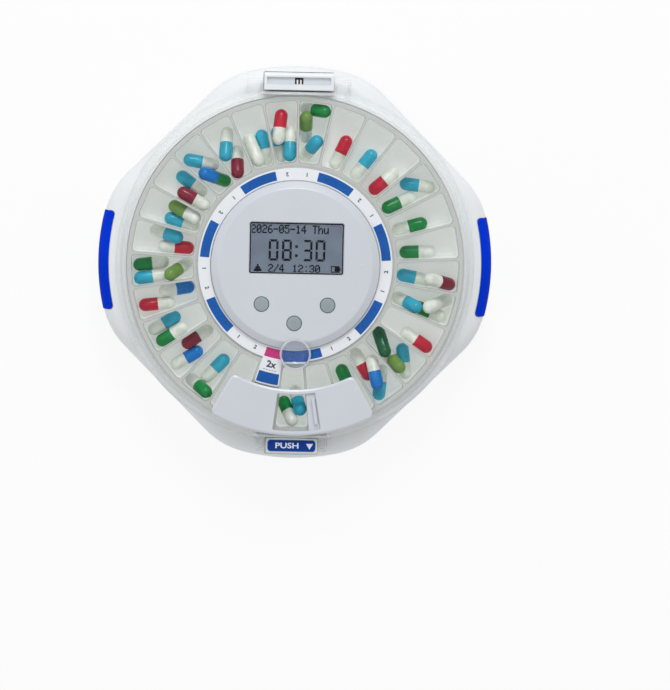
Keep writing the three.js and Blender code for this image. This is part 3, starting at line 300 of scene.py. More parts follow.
lens_clear = Look("lens_glass_clear", (246, 248, 252), 0.03, Transmission_Weight=1.0, IOR=1.42,
                  Specular_IOR_Level=0.2)
lens_clear.set("Roughness", 0.02 + lens_clear.noise(6) * 0.02)
lens_clear.bump(lens_clear.noise(5), 0.002)
print("with clear plastics:", len(bpy.data.materials))

# %% [markdown]
# The screen is a grey liquid-crystal panel with dark marks. The metal pieces are hidden inside, so
# one brushed look serves springs, screws and contacts, and the board gets its green resist with
# copper tracks showing through as a faint pattern.

# %% Screen, metals, board and cells
SCREEN_DOT = 0.62

screen_grey = Look("screen_grey", (112, 124, 140), 0.35)
dots = ((screen_grey.waves("Y", SCREEN_DOT) * 0.5 + 0.5)
        * (screen_grey.waves("X", SCREEN_DOT) * 0.5 + 0.5))
screen_grey.set("Base Color", screen_grey.mix(
    dots * 0.22 + screen_grey.noise(13).ramp(0.3, 0.7) * 0.5, (103, 115, 131), (122, 134, 151)))
screen_grey.bump(dots, 0.006)
screen_ink = moulded("screen_dark_segments", (12, 15, 28), 0.5, grain=0.3, shade=0.2,
                     Specular_IOR_Level=0.1)


def metal(name, color):
    """A plated metal with fine brushing."""
    look = Look(name, color, 0.3, Metallic=1.0)
    streaks = look.noise(0.8, detail=6.0, roughness=0.7)
    look.set("Roughness", 0.3 + (streaks - 0.5) * 0.25)
    look.bump(streaks, 0.004)
    return look


steel = metal("steel_plated", (190, 193, 198))
brass = metal("brass_contacts", (201, 178, 118))

board_green = Look("board_green_resist", (34, 92, 58), 0.35)
tracks = board_green.waves("X", 2.1, board_green.noise(6) * 9).above(0.72).math(
    "MAXIMUM", board_green.waves("Y", 3.4, board_green.noise(8) * 7).above(0.82))
board_green.set("Base Color", board_green.mix(tracks, (34, 92, 58), (62, 128, 78)))
board_green.bump(tracks, 0.02)

cell_wrap = Look("cell_foil_sleeve", (58, 70, 86), 0.3)
wrap_cloud = cell_wrap.noise(12)
cell_wrap.set("Base Color", cell_wrap.mix(wrap_cloud.ramp(0.4, 0.6), (54, 66, 82), (66, 79, 96)))
cell_wrap.set("Roughness", 0.28 + wrap_cloud * 0.1)
cell_wrap.bump(cell_wrap.noise(0.5, detail=4.0), 0.01)
print("looks made so far:", len(bpy.data.materials))

# %% [markdown]
# The room is plain: a pale floor that keeps the box's shadow, an even sky and two large soft lamps,
# the brighter one from the rear as in the photograph. The lamps and the sky together send about as
# much light as lets a colour come out as it is written. To the camera alone, floor and sky are white.

# %% Floor and light
SKY_LIGHT = 0.64
FLOOR_SIZE = 6
FLOOR_WHITENESS = 0.88

bpy.ops.mesh.primitive_plane_add(size=FLOOR_SIZE)
floor = bpy.context.object
floor.name = "floor"
floor_look = Look("floor_white", (238, 238, 238), 0.9)
rays = floor_look.node("ShaderNodeLightPath").socket.node.outputs
camera_ray, glossy_ray, clear_ray = [
    Value(floor_look, rays[name]) for name in ("Is Camera Ray", "Is Glossy Ray", "Is Transmission Ray")]
seen = camera_ray.math("MAXIMUM", glossy_ray).math("MAXIMUM", clear_ray)
glow = floor_look.node("ShaderNodeEmission", None, (1, 1, 1, 1), 1.0)
blend = floor_look.node("ShaderNodeMixShader", None, seen * FLOOR_WHITENESS,
                        Value(floor_look, floor_look.shader.outputs[0]), glow)
output = floor_look.tree.nodes["Material Output"]
floor_look.tree.links.new(blend.socket, output.inputs["Surface"])
floor.data.materials.append(floor_look.material)

world = bpy.context.scene.world or bpy.data.worlds.new("room")
bpy.context.scene.world = world
world.use_nodes = True
sky = world.node_tree
background = sky.nodes["Background"]
background.inputs["Color"].default_value = (1, 1, 1, 1)
light_path = sky.nodes.new("ShaderNodeLightPath")
either = sky.nodes.new("ShaderNodeMath")
either.operation = "MAXIMUM"
strength = sky.nodes.new("ShaderNodeMapRange")
strength.inputs["To Min"].default_value = SKY_LIGHT
strength.inputs["To Max"].default_value = 1.0
for source, target in ((light_path.outputs["Is Camera Ray"], either.inputs[0]),
                       (light_path.outputs["Is Transmission Ray"], either.inputs[1]),
                       (either.outputs[0], strength.inputs["Value"]),
                       (strength.outputs[0], background.inputs["Strength"])):
    sky.links.new(source, target)

for name, place, size, power in (("lamp_rear", (0.1, 1.35, 1.35), 0.7, 15),
                                 ("lamp_left", (-1.3, 0.2, 1.2), 1.1, 2.5)):
    bpy.ops.object.light_add(type="AREA", location=place)
    lamp = bpy.context.object
    lamp.name = name
    lamp.data.shape = "SQUARE"
    lamp.data.size = size
    lamp.data.energy = power
    lamp.rotation_mode = "QUATERNION"
    lamp.rotation_quaternion = Vector(place).to_track_quat("Z", "Y")
bpy.context.scene.view_settings.view_transform = "Standard"
print("room ready")

# %% [markdown]
# A few moves come back for every piece. A ring of corners is a circle primitive whose corners are
# moved onto an outline; extruded several times it is a solid through rings, and extruded once it is
# a plate. A round part is half a section spun about its axis.

# %% Rings of corners and turned parts
def cos(angle):
    return math.cos(math.radians(angle))


def sin(angle):
    return math.sin(math.radians(angle))


def turn(angle, axis="Z"):
    return Matrix.Rotation(math.radians(angle), 4, axis)


def move(x, y, z=0):
    return Matrix.Translation((x * MM, y * MM, z * MM))


def fresh():
    """Object mode with nothing selected."""
    if bpy.context.object and bpy.context.object.mode != "OBJECT":
        bpy.ops.object.mode_set(mode="OBJECT")
    bpy.ops.object.select_all(action="DESELECT")


def choose(piece):
    fresh()
    bpy.context.view_layer.objects.active = piece
    piece.select_set(True)


def editing(piece, action="SELECT"):
    choose(piece)
    bpy.ops.object.mode_set(mode="EDIT")
    bpy.ops.mesh.select_all(action=action)


def done():
    bpy.ops.object.mode_set(mode="OBJECT")


def outward(piece, merge=0.00001):
    """Merges corners that lie together and points all faces outwards."""
    editing(piece)
    bpy.ops.mesh.remove_doubles(threshold=merge)
    bpy.ops.mesh.select_all(action="SELECT")
    bpy.ops.mesh.normals_make_consistent(inside=False)
    done()
    return piece


def ring_of(count):
    fresh()
    bpy.ops.mesh.primitive_circle_add(vertices=count, radius=MM, fill_type="NOTHING")
    return bpy.context.object


def stack(rings):
    """A solid through rings of equally many corners, closed at the first and the last."""
    count = len(rings[0])
    piece = ring_of(count)
    editing(piece)
    for _ in rings[1:]:
        bpy.ops.mesh.extrude_edges_move(TRANSFORM_OT_translate={"value": (0, 0, MM)})
    done()
    piece.data.vertices.foreach_set("co", (np.array(rings, float) * MM).ravel())
    for ring in (0, len(rings) - 1):
        editing(piece, "DESELECT")
        done()
        for corner in piece.data.vertices[ring * count:(ring + 1) * count]:
            corner.select = True
        bpy.ops.object.mode_set(mode="EDIT")
        bpy.ops.mesh.edge_face_add()
        done()
    return outward(piece)


def level(points, height):
    return [(x, y, height) for x, y in points]


def plate(points, low, high):
    """A flat plate of this outline between two heights."""
    return stack([level(points, low), level(points, high)])


def turned(profile, steps, centre=(0, 0)):
    """A round part: a section of (radius, height) corners spun about an upright axis."""
    piece = ring_of(len(profile))
    for corner, (radius, height) in zip(piece.data.vertices, profile):
        corner.co = (radius * MM, 0, height * MM)
    editing(piece, "DESELECT")
    shape = bmesh.from_edit_mesh(piece.data)
    for edge in shape.edges:
        edge.select = all(abs(corner.co.x) < 1e-7 for corner in edge.verts)
    if any(edge.select for edge in shape.edges):
        bpy.ops.mesh.delete(type="EDGE")
    bpy.ops.mesh.select_all(action="SELECT")
    bpy.ops.mesh.spin(steps=steps, angle=2 * math.pi, center=(0, 0, 0), axis=(0, 0, 1))
    done()
    piece.data.transform(move(*centre))
    return outward(piece)


print("rings, plates and turned parts ready")

# %% [markdown]
# Small forms are cut from or joined to large ones with the Boolean modifier, and a bevel rounds
# what a hand would feel. Modifiers are applied at once, so the next step works on real corners. At
# the end each piece gets its shading, its finish and its place in the frame. A piece rides on one
# body, or, given more than one, stays fixed where it was made.

# %% Cutting, joining and finishing
def modified(piece, kind, **settings):
    """Adds a modifier to a piece and applies it."""
    choose(piece)
    modifier = piece.modifiers.new(kind.lower(), kind)
    for key, value in settings.items():
        setattr(modifier, key, value)
    bpy.ops.object.modifier_apply(modifier=modifier.name)
    return piece


def combine(piece, tool, operation):
    """Boolean of two solids; the tool is used up."""
    modified(piece, "BOOLEAN", operation=operation, solver="EXACT", object=tool)
    bpy.data.objects.remove(tool)
    return piece


def cut(piece, *tools):
    for tool in tools:
        combine(piece, tool, "DIFFERENCE")
    return piece


def joined(piece, *tools):
    for tool in tools:
        combine(piece, tool, "UNION")
    return piece


def together(pieces):
    """Several loose solids as one mesh."""
    choose(pieces[0])
    for piece in pieces[1:]:
        piece.select_set(True)
    if len(pieces) > 1:
        bpy.ops.object.join()
    return bpy.context.object


def copies(piece, matrices):
    """Copies with their own meshes, each moved by a matrix in metres; the model is used up."""
    made = []
    for matrix in matrices:
        made.append(piece.copy())
        made[-1].data = piece.data.copy()
        bpy.context.collection.objects.link(made[-1])
        made[-1].data.transform(matrix)
    bpy.data.objects.remove(piece)
    return made


def soften(piece, width, segments=3):
    """Rounds every sharp edge."""
    return modified(piece, "BEVEL", width=width * MM, segments=segments, limit_method="ANGLE",
                    angle_limit=math.radians(40), miter_outer="MITER_ARC")


def finish(piece, name, looks, node=None, body="housing", smooth=35):
    """Shades a piece, names and paints it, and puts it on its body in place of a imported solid."""
    choose(piece)
    bpy.ops.object.shade_smooth_by_angle(angle=math.radians(smooth))
    modified(piece, "WEIGHTED_NORMAL", keep_sharp=True)
    piece.name = piece.data.name = name
    piece.data.materials.clear()
    for look in looks if isinstance(looks, list) else [looks]:
        piece.data.materials.append(look.material)
    if isinstance(body, str):
        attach(piece, body)
    else:
        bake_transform(piece)
    if node:
        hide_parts(node)
    return piece


print("cutting, joining and finishing ready")

# %% [markdown]
# Outlines are lists of corners. Arcs come from one function; a rounded box, a ring sector and a
# small disc are made from it. The case's own outline has four lobes: a large arc bulges out on
# each side, and a small arc joins it to the flat on the diagonal.

# %% Outlines
def polar(radius, angle, centre=(0, 0)):
    return (centre[0] + radius * cos(angle), centre[1] + radius * sin(angle))


def arc(radius, start, end, steps, centre=(0, 0)):
    """Corners on an arc between two angles, both ends among them."""
    return [polar(radius, start + (end - start) * i / steps, centre) for i in range(steps + 1)]


def disc(radius, centre=(0, 0), steps=32):
    return arc(radius, 0, 360 - 360 / steps, steps - 1, centre)


def rounded_box(x0, x1, y0, y1, corner):
    return (arc(corner, 0, 90, 6, (x1 - corner, y1 - corner))
            + arc(corner, 90, 180, 6, (x0 + corner, y1 - corner))
            + arc(corner, 180, 270, 6, (x0 + corner, y0 + corner))
            + arc(corner, 270, 360, 6, (x1 - corner, y0 + corner)))


def sector(inner, outer, start, end, corner=0.0, steps=24, corner_steps=5):
    """A ring sector between two angles, with rounded corners."""
    if not corner:
        return arc(outer, start, end, steps) + arc(inner, end, start, steps)
    points = []
    for radius, angle, inwards, side, quarter in (
            (outer, start, -1, 1, -90), (outer, end, -1, -1, 0),
            (inner, end, 1, -1, 90), (inner, start, 1, 1, 180)):
        middle = radius + inwards * corner
        lean = math.degrees(math.asin(corner / middle))
        first = angle + quarter
        points += arc(corner, first, first + 90, corner_steps, polar(middle, angle + side * lean))
        if side * inwards < 0:
            trim = 2 * math.degrees(corner / radius)
            way = (start + trim, end - trim) if side > 0 else (end - trim, start + trim)
            points += arc(radius, *way, steps)
    return points


def block(x0, x1, y0, y1, z0, z1):
    return plate([(x1, y1), (x0, y1), (x0, y0), (x1, y0)], z0, z1)


def rod(radius, z0, z1, centre=(0, 0), steps=32):
    return plate(disc(radius, centre, steps), z0, z1)


LOBE_RADIUS, LOBE_CENTRE, FLAT_REACH, CORNER_RADIUS = 120.0, -9.0, 102.3, 45.0
half = (FLAT_REACH - CORNER_RADIUS) * math.sqrt(0.5)
spare = (half - LOBE_CENTRE) ** 2 + half ** 2 - (LOBE_RADIUS - CORNER_RADIUS) ** 2
lopsided = (LOBE_CENTRE + math.sqrt(LOBE_CENTRE ** 2 - 2 * spare)) / 2
CORNER_X, CORNER_Y = half + lopsided, half - lopsided
CORNER_TURN = math.degrees(math.atan2(CORNER_Y, CORNER_X - LOBE_CENTRE))


def case_outline(inset):
    """The lobed outline of the case, moved inwards by an inset."""
    small, large = CORNER_RADIUS - inset, LOBE_RADIUS - inset
    side = (arc(small, -45, -CORNER_TURN, 8, (CORNER_X, -CORNER_Y))[:-1]
            + arc(large, -CORNER_TURN, CORNER_TURN, 20, (LOBE_CENTRE, 0))
            + arc(small, CORNER_TURN, 45, 8, (CORNER_X, CORNER_Y))[1:])
    return [(c * x - s * y, s * x + c * y)
            for c, s in ((1, 0), (0, 1), (-1, 0), (0, -1)) for x, y in side]


def case_rings(steps):
    """A solid through case outlines, each given as (inset, height)."""
    return stack([level(case_outline(inset), height) for inset, height in steps])


print("case outline corners:", len(case_outline(0)))

# %% [markdown]
# The lower case is a shallow moulded tub: an outside with a rounded lower edge, a hollow, a lip
# that the upper case slips over, and a well for four cells. Screws stand in bosses on the
# diagonals. A shell like this could be drawn as one outline with a wall thickness, but cutting a
# hollow from a solid keeps the floor, the wall and the lip each at its own thickness.

# %% Lower case
WALL, UNDERSIDE, PARTING = 2.5, 1.5, 12
EDGE_RADIUS = 3
BUZZER = (54, 0)
SLIT_PITCH = 3.6
DIAGONALS = [polar(80, angle) for angle in (45, 135, 225, 315)]
FEET = [(90, 0), (0, 90), (-90, 0), (0, -90)]
MOTOR_EARS = [(-28, -17.5), (-28, 17.5)]


def door_outline(gap):
    """The battery opening with the notch for the door's tab."""
    hx, hy, tab = 29.75 - gap, 30.9 - gap, 6 - gap
    box = rounded_box(-hx, hx, -hy, hy, 3)
    return box[:21] + [(-tab, -hy), (-tab, -hy - 4), (tab, -hy - 4), (tab, -hy)] + box[21:]


lower_edge = [(EDGE_RADIUS * (1 - sin(a)), UNDERSIDE + EDGE_RADIUS * (1 - cos(a)))
              for a in range(0, 91, 15)]
lower_case = case_rings(lower_edge + [(0, PARTING - 0.3), (0.3, PARTING)])
hollow = case_rings([(4, 4), (3.1, 4.3), (WALL, 5.5), (WALL, 16)])
lip = cut(case_rings([(1.4, 10.2), (1.4, 13.5), (1.7, 13.8)]), case_rings([(WALL, 9), (WALL, 15)]))
battery_bay = block(-29.85, 29.85, -31, 31, 3.5, 20.3)
battery_room = block(-28.25, 28.25, -29.4, 29.4, -2, 18.7)
bosses = [rod(4.8, UNDERSIDE, 7.1, place) for place in DIAGONALS]
motor_posts = [rod(3.6, 3.2, 34.1, place) for place in MOTOR_EARS]
buzzer_wall = cut(rod(12.5, 3.2, 7, BUZZER, 48), rod(11.3, 2, 8, BUZZER, 48))
joined(cut(lower_case, hollow), lip, battery_bay, *bosses, *motor_posts, buzzer_wall)
cut(lower_case, battery_room, plate(door_outline(0), -2, 3.5))
for place in DIAGONALS:
    cut(lower_case, rod(3.2, -2, 4.3, place), rod(1.7, 4.2, 9, place))
foot_beds = [rod(7.3, -2, 2.0, place, 48) for place in FEET]
cut(lower_case, *foot_beds, *[rod(1.6, 28, 36, place) for place in MOTOR_EARS])
for across in (SLIT_PITCH * i for i in range(-2, 3)):
    x, reach = BUZZER[0] + across, math.sqrt(8.5 ** 2 - across ** 2)
    cut(lower_case, plate(rounded_box(x - 0.8, x + 0.8, -reach, reach, 0.79), -2, 4.4))
finish(lower_case, "lower_case", case_white, "bottom_shell", smooth=28)
print("lower case faces:", len(lower_case.data.polygons))

# %% [markdown]
# Under the case sit the battery door, four rubber feet and four screws. A screw is a spun profile
# with small threads and a cross cut into its head. The same function, given other sizes, serves
# the small screws of the motor and the board.

# %% Battery door, feet and screws
battery_door = soften(plate(door_outline(0.3), UNDERSIDE, 3.5), 0.3)
for i in range(4):
    y = -24.7 + 3.2 * i
    cut(battery_door, plate(rounded_box(-11, 11, y - 0.4, y + 0.4, 0.39), 0, 2.3))
finish(battery_door, "battery_cover_plate", case_white, "battery_door", "battery_cover")

foot_profile = ([(0, 0.35), (3.6, 0.35), (3.9, 0.05), (4.6, 0.05), (4.9, 0.35), (5.4, 0.35), (5.7, 0)]
                + [(6.4 + 0.6 * sin(a), 0.6 - 0.6 * cos(a)) for a in (0, 30, 60, 90)]
                + [(7, 2.0), (0, 2.0)])
for name, place in zip(("right", "rear", "left", "front"), FEET):
    finish(turned(foot_profile, 48, place), f"rubber_foot_{name}", foot_rubber,
           f"foot_{name}")


def screws(names, nodes, places, radius, length, head, head_height, seat, rise):
    """Cross-head screws; rise is 1 when the heads are up and -1 when they hang head down."""
    pitch = radius * 0.62
    profile = [(0, -length), (radius * 0.35, -length + radius * 0.3)]
    for i in range(int((length - radius * 1.5) / pitch)):
        low = -length + radius * 1.2 + i * pitch
        profile += [(radius * 0.8, low), (radius, low + pitch * 0.4), (radius, low + pitch * 0.55)]
    profile += [(radius * 0.8, -0.2), (radius * 0.8, 0), (head, 0)]
    profile += [(head * cos(a), head_height * (0.35 + 0.65 * sin(a))) for a in (0, 20, 40, 60, 75)]
    model = turned(profile + [(0, head_height)], 24)
    arm, slit = head * 0.55, head * 0.13
    for x, y in ((arm, slit), (slit, arm)):
        cut(model, block(-x, x, -y, y, head_height * 0.45, head_height + 1))
    over = turn(180, "X") if rise < 0 else Matrix()
    for i, screw in enumerate(copies(model, [move(*place, seat) @ over for place in places]), 1):
        finish(screw, f"{names}_{i}", steel, f"{nodes}_{i}")


screws("case_screw", "housing_screw", DIAGONALS, 1.4, 11, 2.9, 1.8, 4.3, -1)
print("door, feet and screws done")

# %% [markdown]
# The upper case is the part the hand holds. It's white and satin, with a wide round shoulder that
# runs up to a round stage under the lid. Inside the stage is the well in which the tray turns, with
# a low rim round it and the hub's column in its middle. The column is a tube of its own with two
# windows, cut before it's joined, where the faces are few and the Boolean stays clean. At the
# front and the rear, pockets hold the latch and the lock, and two shallow beds take the grips.

# %% Upper case
STAGE_TOP, RIM_TOP, WELL_FLOOR, TRAY_TOP = 33.1, 38.1, 25.2, 44.1
SHOULDER_RADIUS, SHOULDER_FOOT = 9, 24.1
LARGE_ROUND = 192
PIN_Y, PIN_Z = -100.6, 30.3


def shoulder(depth, steps=10):
    """(inset, height) of the rounded shoulder, moved inwards by depth."""
    rounding = arc(SHOULDER_RADIUS - depth, 0, 90, steps, (0, SHOULDER_FOOT))
    return [(SHOULDER_RADIUS - out, height) for out, height in rounding]


def upper_body(depth, bottom, steps=10):
    return case_rings([(depth, bottom)] + shoulder(depth, steps))


def grip_zone(side, gap):
    """All the room outside the case's skin where a grip lies, with ends square to the side."""
    reach, inner, corner = 27.8 + gap, 114.6 - gap, 2.0
    lean = math.asin((reach - corner) / (inner + corner))
    x, y = (inner + corner) * math.cos(lean), reach - corner
    lean = math.degrees(lean)
    points = ([(124, -reach), (124, reach)] + arc(corner, 90, 180 + lean, 5, (x, y))
              + arc(inner, lean, -lean, 24) + arc(corner, 180 - lean, 270, 5, (x, -y)))
    return plate([(side * (x + LOBE_CENTRE), y) for x, y in points], 14 - gap, 38)


def along_x(radius, reach):
    """A rod along the latch's pin axis."""
    bar = rod(radius, -reach, reach, steps=24)
    bar.data.transform(move(0, PIN_Y, PIN_Z) @ turn(90, "Y"))
    return bar


upper_case = case_rings([(0.3, PARTING), (0, PARTING + 0.3)] + shoulder(0))
stage = turned([(0, 13), (102, 13), (102, 32.7), (101.88, 32.98), (101.6, STAGE_TOP),
                (0, STAGE_TOP)], LARGE_ROUND)
low_rim = turned([(0, 13), (97.6, 13), (97.6, 37.8), (97.3, RIM_TOP), (0, RIM_TOP)], LARGE_ROUND)
hollow = case_rings([(WALL, 8), (WALL, 23.2)])
shoulder_hollow = cut(upper_body(WALL, 22.4, 6), rod(100.3, 19, 34, steps=96))
lip_room = case_rings([(1.1, 8), (1.1, 14.1)])
cut(joined(upper_case, stage, low_rim), hollow, shoulder_hollow, lip_room)
latch_walls = block(-22.3, 22.3, -110.4, -95.9, 23.7, STAGE_TOP)
lock_walls = block(-21.9, 21.9, 95.9, 110.3, 23.7, STAGE_TOP)
for walls in (latch_walls, lock_walls):
    joined(upper_case, combine(walls, upper_body(0.8, 11, 6), "INTERSECT"))
joined(upper_case, *[rod(4.8, 7.1, 24, place) for place in DIAGONALS])
well = stack([level(disc(radius, steps=LARGE_ROUND), height) for radius, height in (
    (94.5, WELL_FLOOR), (95.1, 25.5), (95.35, 26.2), (95.35, 38.0), (95.7, 38.4), (95.7, 60))])
cut(upper_case, well)
column = cut(turned([(44.5, 23.2), (47, 23.2), (47, 43.8), (46.7, TRAY_TOP), (44.5, TRAY_TOP)], 144),
             plate(sector(40, 47.4, 158, 202), 36.2, 41.8), block(40, 47.4, -4, 4, 36.2, 41.8))
cut(upper_case, rod(46, 8, 48, steps=144))
joined(upper_case, column)
latch_pocket = plate(rounded_box(-15, 15, -108.4, -98, 0.8), 25.7, 50)
lock_pocket = plate(rounded_box(-19.9, 19.9, 98, 108.3, 0.8), 25.7, 50)
cut(upper_case, latch_pocket, lock_pocket, *[rod(1.7, 3, 15.6, place) for place in DIAGONALS])
grip_beds = [cut(grip_zone(side, 0.3), upper_body(1.2, 8)) for side in (-1, 1)]
pin_holes = along_x(1.8, 16.3)
cut(upper_case, *grip_beds, pin_holes)
finish(upper_case, "upper_case", case_white, "top_shell", smooth=28)
print("upper case faces:", len(upper_case.data.polygons))

# %% [markdown]
# The grips are soft blue strips, a little proud of the case and curved with it. Each is what lies
# between two copies of the case's skin, one swollen and one shrunk, inside the strip's outline.

# %% Grips
for side, name in ((-1, "left"), (1, "right")):
    grip = combine(upper_body(-0.45, 13.2), upper_body(0.9, 8), "DIFFERENCE")
    grip = combine(grip, grip_zone(side, 0), "INTERSECT")
    finish(grip, f"side_grip_{name}", grip_blue, f"grip_{name}", smooth=28)
    print(name, "grip faces:", len(grip.data.polygons))

# %% [markdown]
# The tray is one milky moulding with 28 open cells and one closed home cell. Each cell is a wedge
# with rounded corners, a rounded floor edge and a slightly rolled top, so the cutter for one cell is
# shaped once from rings of corners, and turned copies of it take all the cells out of a spun body
# at a single stroke.

# %% Tray
CELLS = 29
CELL_TURN = 360 / CELLS
FRONT = 270
HOME = FRONT - CELL_TURN
CELL_FLOOR, FLOOR_ROUND = 28.1, 2.2


def cell_ring(inset, height):
    """The wedge of one cell about the +X direction, moved inwards by an inset."""
    inner, outer, wall = 57.5 + inset, 92.4 - inset, 0.6 + inset
    round_by = max(2.6 - inset, 0.6)
    points = []
    # The order runs inner, outer on the lower side and outer, inner on the upper
    for sign, radius in ((-1, inner), (-1, outer), (1, outer), (1, inner)):
        inwards = -1 if radius == outer else 1
        lean = CELL_TURN / 2
        angle = sign * (lean - math.degrees(math.asin(wall / radius)))
        tip = Vector(polar(radius, angle))
        radial = Vector((cos(lean), sign * sin(lean))) * inwards
        across = Vector((sin(angle), -cos(angle))) * sign
        first, last = tip + radial * round_by, tip + across * round_by
        if (sign > 0) == (radius == outer):
            first, last = last, first
        points += [tuple(first * (1 - t) ** 2 + tip * (2 * t * (1 - t)) + last * t ** 2)
                   for t in (0, 0.2, 0.4, 0.6, 0.8, 1)]
    return level(points, height)


pill_tray = turned([(56.2, 26.6), (93.2, 26.6), (93.7, 26.8), (93.9, 27.3), (94.9, 43.7),
                    (94.6, TRAY_TOP), (47.8, TRAY_TOP), (47.8, 41.8), (56.2, 41.8)], CELLS * 8)
joined(pill_tray, together(copies(plate(rounded_box(69, 81, -1.2, 1.2, 1.1), 25.6, 27.4),
                                  [turn(60 * i) for i in range(6)])))
wedge = stack([cell_ring(0.5 + FLOOR_ROUND * (1 - sin(a)), CELL_FLOOR + FLOOR_ROUND * (1 - cos(a)))
               for a in (0, 20, 40, 60, 75, 90)]
              + [cell_ring(0.05, 43.7), cell_ring(-0.12, 44.0), cell_ring(-0.3, 44.3)])
cut(pill_tray, together(copies(wedge, [turn(FRONT + CELL_TURN * i) for i in range(CELLS - 1)])))
home = stack([cell_ring(0.3, 20), cell_ring(0.3, 40.8), cell_ring(0.9, 42.1), cell_ring(2.2, 42.6)])
cut(pill_tray, *copies(home, [turn(HOME)]))
finish(pill_tray, "cell_tray", tray_clear, "pill_tray", "tray", smooth=32)
print("tray faces:", len(pill_tray.data.polygons))

# %% [markdown]
# The dosage ring lies on the tray and turns with it. It's a thin white card-like ring, printed with
# seven blue pairs of cells and seven white ones between, a pink home cell, and a tab. The prints
# are very thin raised layers, because a layer has a crisp edge from any distance. Plain dose
# numbers stand on them.

# %% Dosage ring and its prints
RING_TOP = 45.3
PRINT_LOW, PRINT_TOP = 45.25, 45.36
BLUE_START = FRONT + CELL_TURN / 2
PAIR_TURN = 4 * CELL_TURN


def printed(shapes, name, look, body="tray"):
    """Thin raised layers as one piece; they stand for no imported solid."""
    return finish(together(shapes), name, look, body=body)


def print_field(inner, outer, middle, reach, corner, steps):
    return plate(sector(inner, outer, middle - reach, middle + reach, corner, steps, 2),
                 PRINT_LOW, PRINT_TOP)


dosage_ring = turned([(47.8, TRAY_TOP), (54.8, TRAY_TOP), (54.8, 45.1), (54.6, RING_TOP),
                      (48.0, RING_TOP), (47.8, 45.1)], CELLS * 8)
joined(dosage_ring, plate(sector(53.6, 69.5, HOME - 5.8, HOME + 5.8, 1.2, 10), TRAY_TOP, RING_TOP))
finish(dosage_ring, "dosage_ring_card", ring_white, "dosage_ring", "tray")
blues = [print_field(48.7, 53.9, BLUE_START + PAIR_TURN * k, 11.6, 0.25, 24) for k in range(7)]
blues.append(print_field(62.4, 68.6, HOME, 5.3, 0.4, 8))
printed(blues, "ring_blue_print", ring_blue)
printed([print_field(48.7, 53.9, HOME, 5.5, 0.3, 8)], "ring_pink_print", ring_pink)


def words(text, size, base, rise, matrix, stretch=1.0, bolder=0.0):
    """Solid letters centred on the origin, then moved by a matrix."""
    fresh()
    bpy.ops.object.text_add()
    letters = bpy.context.object
    letters.data.body = text
    letters.data.size = size * MM
    letters.data.align_x = "CENTER"
    letters.data.align_y = "CENTER"
    letters.data.extrude = rise * MM / 2
    letters.data.offset = bolder * MM
    letters.data.resolution_u = 3
    bpy.ops.object.convert(target="MESH")
    letters = bpy.context.object
    letters.data.transform(matrix @ Matrix.Diagonal((stretch, 1, 1, 1)))
    letters.data.transform(move(0, 0, base + rise / 2))
    return outward(letters, 0.000001)


def round_the_ring(text, size, radius, angle, base=45.28, rise=0.1, bolder=0.1):
    """Letters that stand upright where the ring is at the front."""
    return words(text, size, base, rise, move(*polar(radius, angle)) @ turn(angle - FRONT),
                 bolder=bolder)


marks, faint_marks = [], []
for k in range(7):
    blue_middle = BLUE_START + PAIR_TURN * k
    for number, side in (("1", -1), ("2", 1)):
        aside_by = side * CELL_TURN / 2
        marks.append(round_the_ring(number, 3.0, 51.4, blue_middle + PAIR_TURN / 2 + aside_by))
        faint_marks.append(round_the_ring(number, 2.4, 51.3, blue_middle + aside_by, 45.33, 0.08))
marks.append(round_the_ring("2x", 5.2, 57.8, HOME, bolder=0.16))
for i in range(5):
    start = HOME - 3.6 + 1.5 * i
    marks.append(plate(sector(60.9, 61.2, start, start + 0.9, 0, 2), 45.28, PRINT_TOP))
printed(marks, "ring_numbers", ink_dark)
printed(faint_marks, "ring_numbers_on_blue", ink_navy)
print("ring prints:", len(marks) + len(faint_marks) + len(blues))

# %% [markdown]
# The hub's cover is a flat cool-white disc with a sloping edge. A shallow seat takes the screen's
# cover, and three holes take the buttons. Three posts under it hold the board's screws.

# %% Hub cover
SCREEN_X, SCREEN_Y, SCREEN_HALF_X, SCREEN_HALF_Y = 0.5, 9.6, 26.5, 14.5
BUTTONS = {"left": (-18.6, -22.1), "middle": (0, -32.6), "right": (18.6, -22.1)}
BOARD_POSTS = [polar(38, angle) for angle in (90, 210, 330)]


def screen_box(grow, corner):
    return rounded_box(SCREEN_X - SCREEN_HALF_X - grow, SCREEN_X + SCREEN_HALF_X + grow,
                       SCREEN_Y - SCREEN_HALF_Y - grow, SCREEN_Y + SCREEN_HALF_Y + grow, corner)


hub_cover = turned([(0, 48.1), (43, 48.1), (43, 42.4), (43.2, 42.3), (44, 42.3), (44.2, 42.5),
                    (44.2, TRAY_TOP), (47.55, TRAY_TOP), (47.55, 47.1), (47.4, 47.45), (47.0, 47.75),
                    (43.8, 49.8), (43.3, 50.03), (42.7, 50.1), (0, 50.1)], LARGE_ROUND)
for place in BOARD_POSTS:
    joined(hub_cover, rod(2.6, 44, 48.9, place))
    cut(hub_cover, rod(1.4, 43, 47.6, place))
seat = stack([level(screen_box(grow, corner), height) for grow, corner, height in (
    (0.3, 1.4, 48.7), (0.3, 1.4, 49.95), (0.5, 1.6, 50.2))])
cut(hub_cover, seat, plate(screen_box(-1, 1.0), 47, 49))
for place in BUTTONS.values():
    cut(hub_cover, turned([(0, 47), (4.35, 47), (4.35, 49.9), (4.6, 50.2), (0, 50.2)], 48, place))
finish(hub_cover, "hub_cover", panel_white, "control_panel", smooth=28)
print("hub cover faces:", len(hub_cover.data.polygons))

# %% [markdown]
# The screen is a sandwich: a dark frame with the grey liquid-crystal face in it, dark marks on the
# face, and a clear cover on top that sits flush in the hub. Dates and small signs are made of
# square dots, each letter from seven short rows, and the large time is made of seven bars a digit.

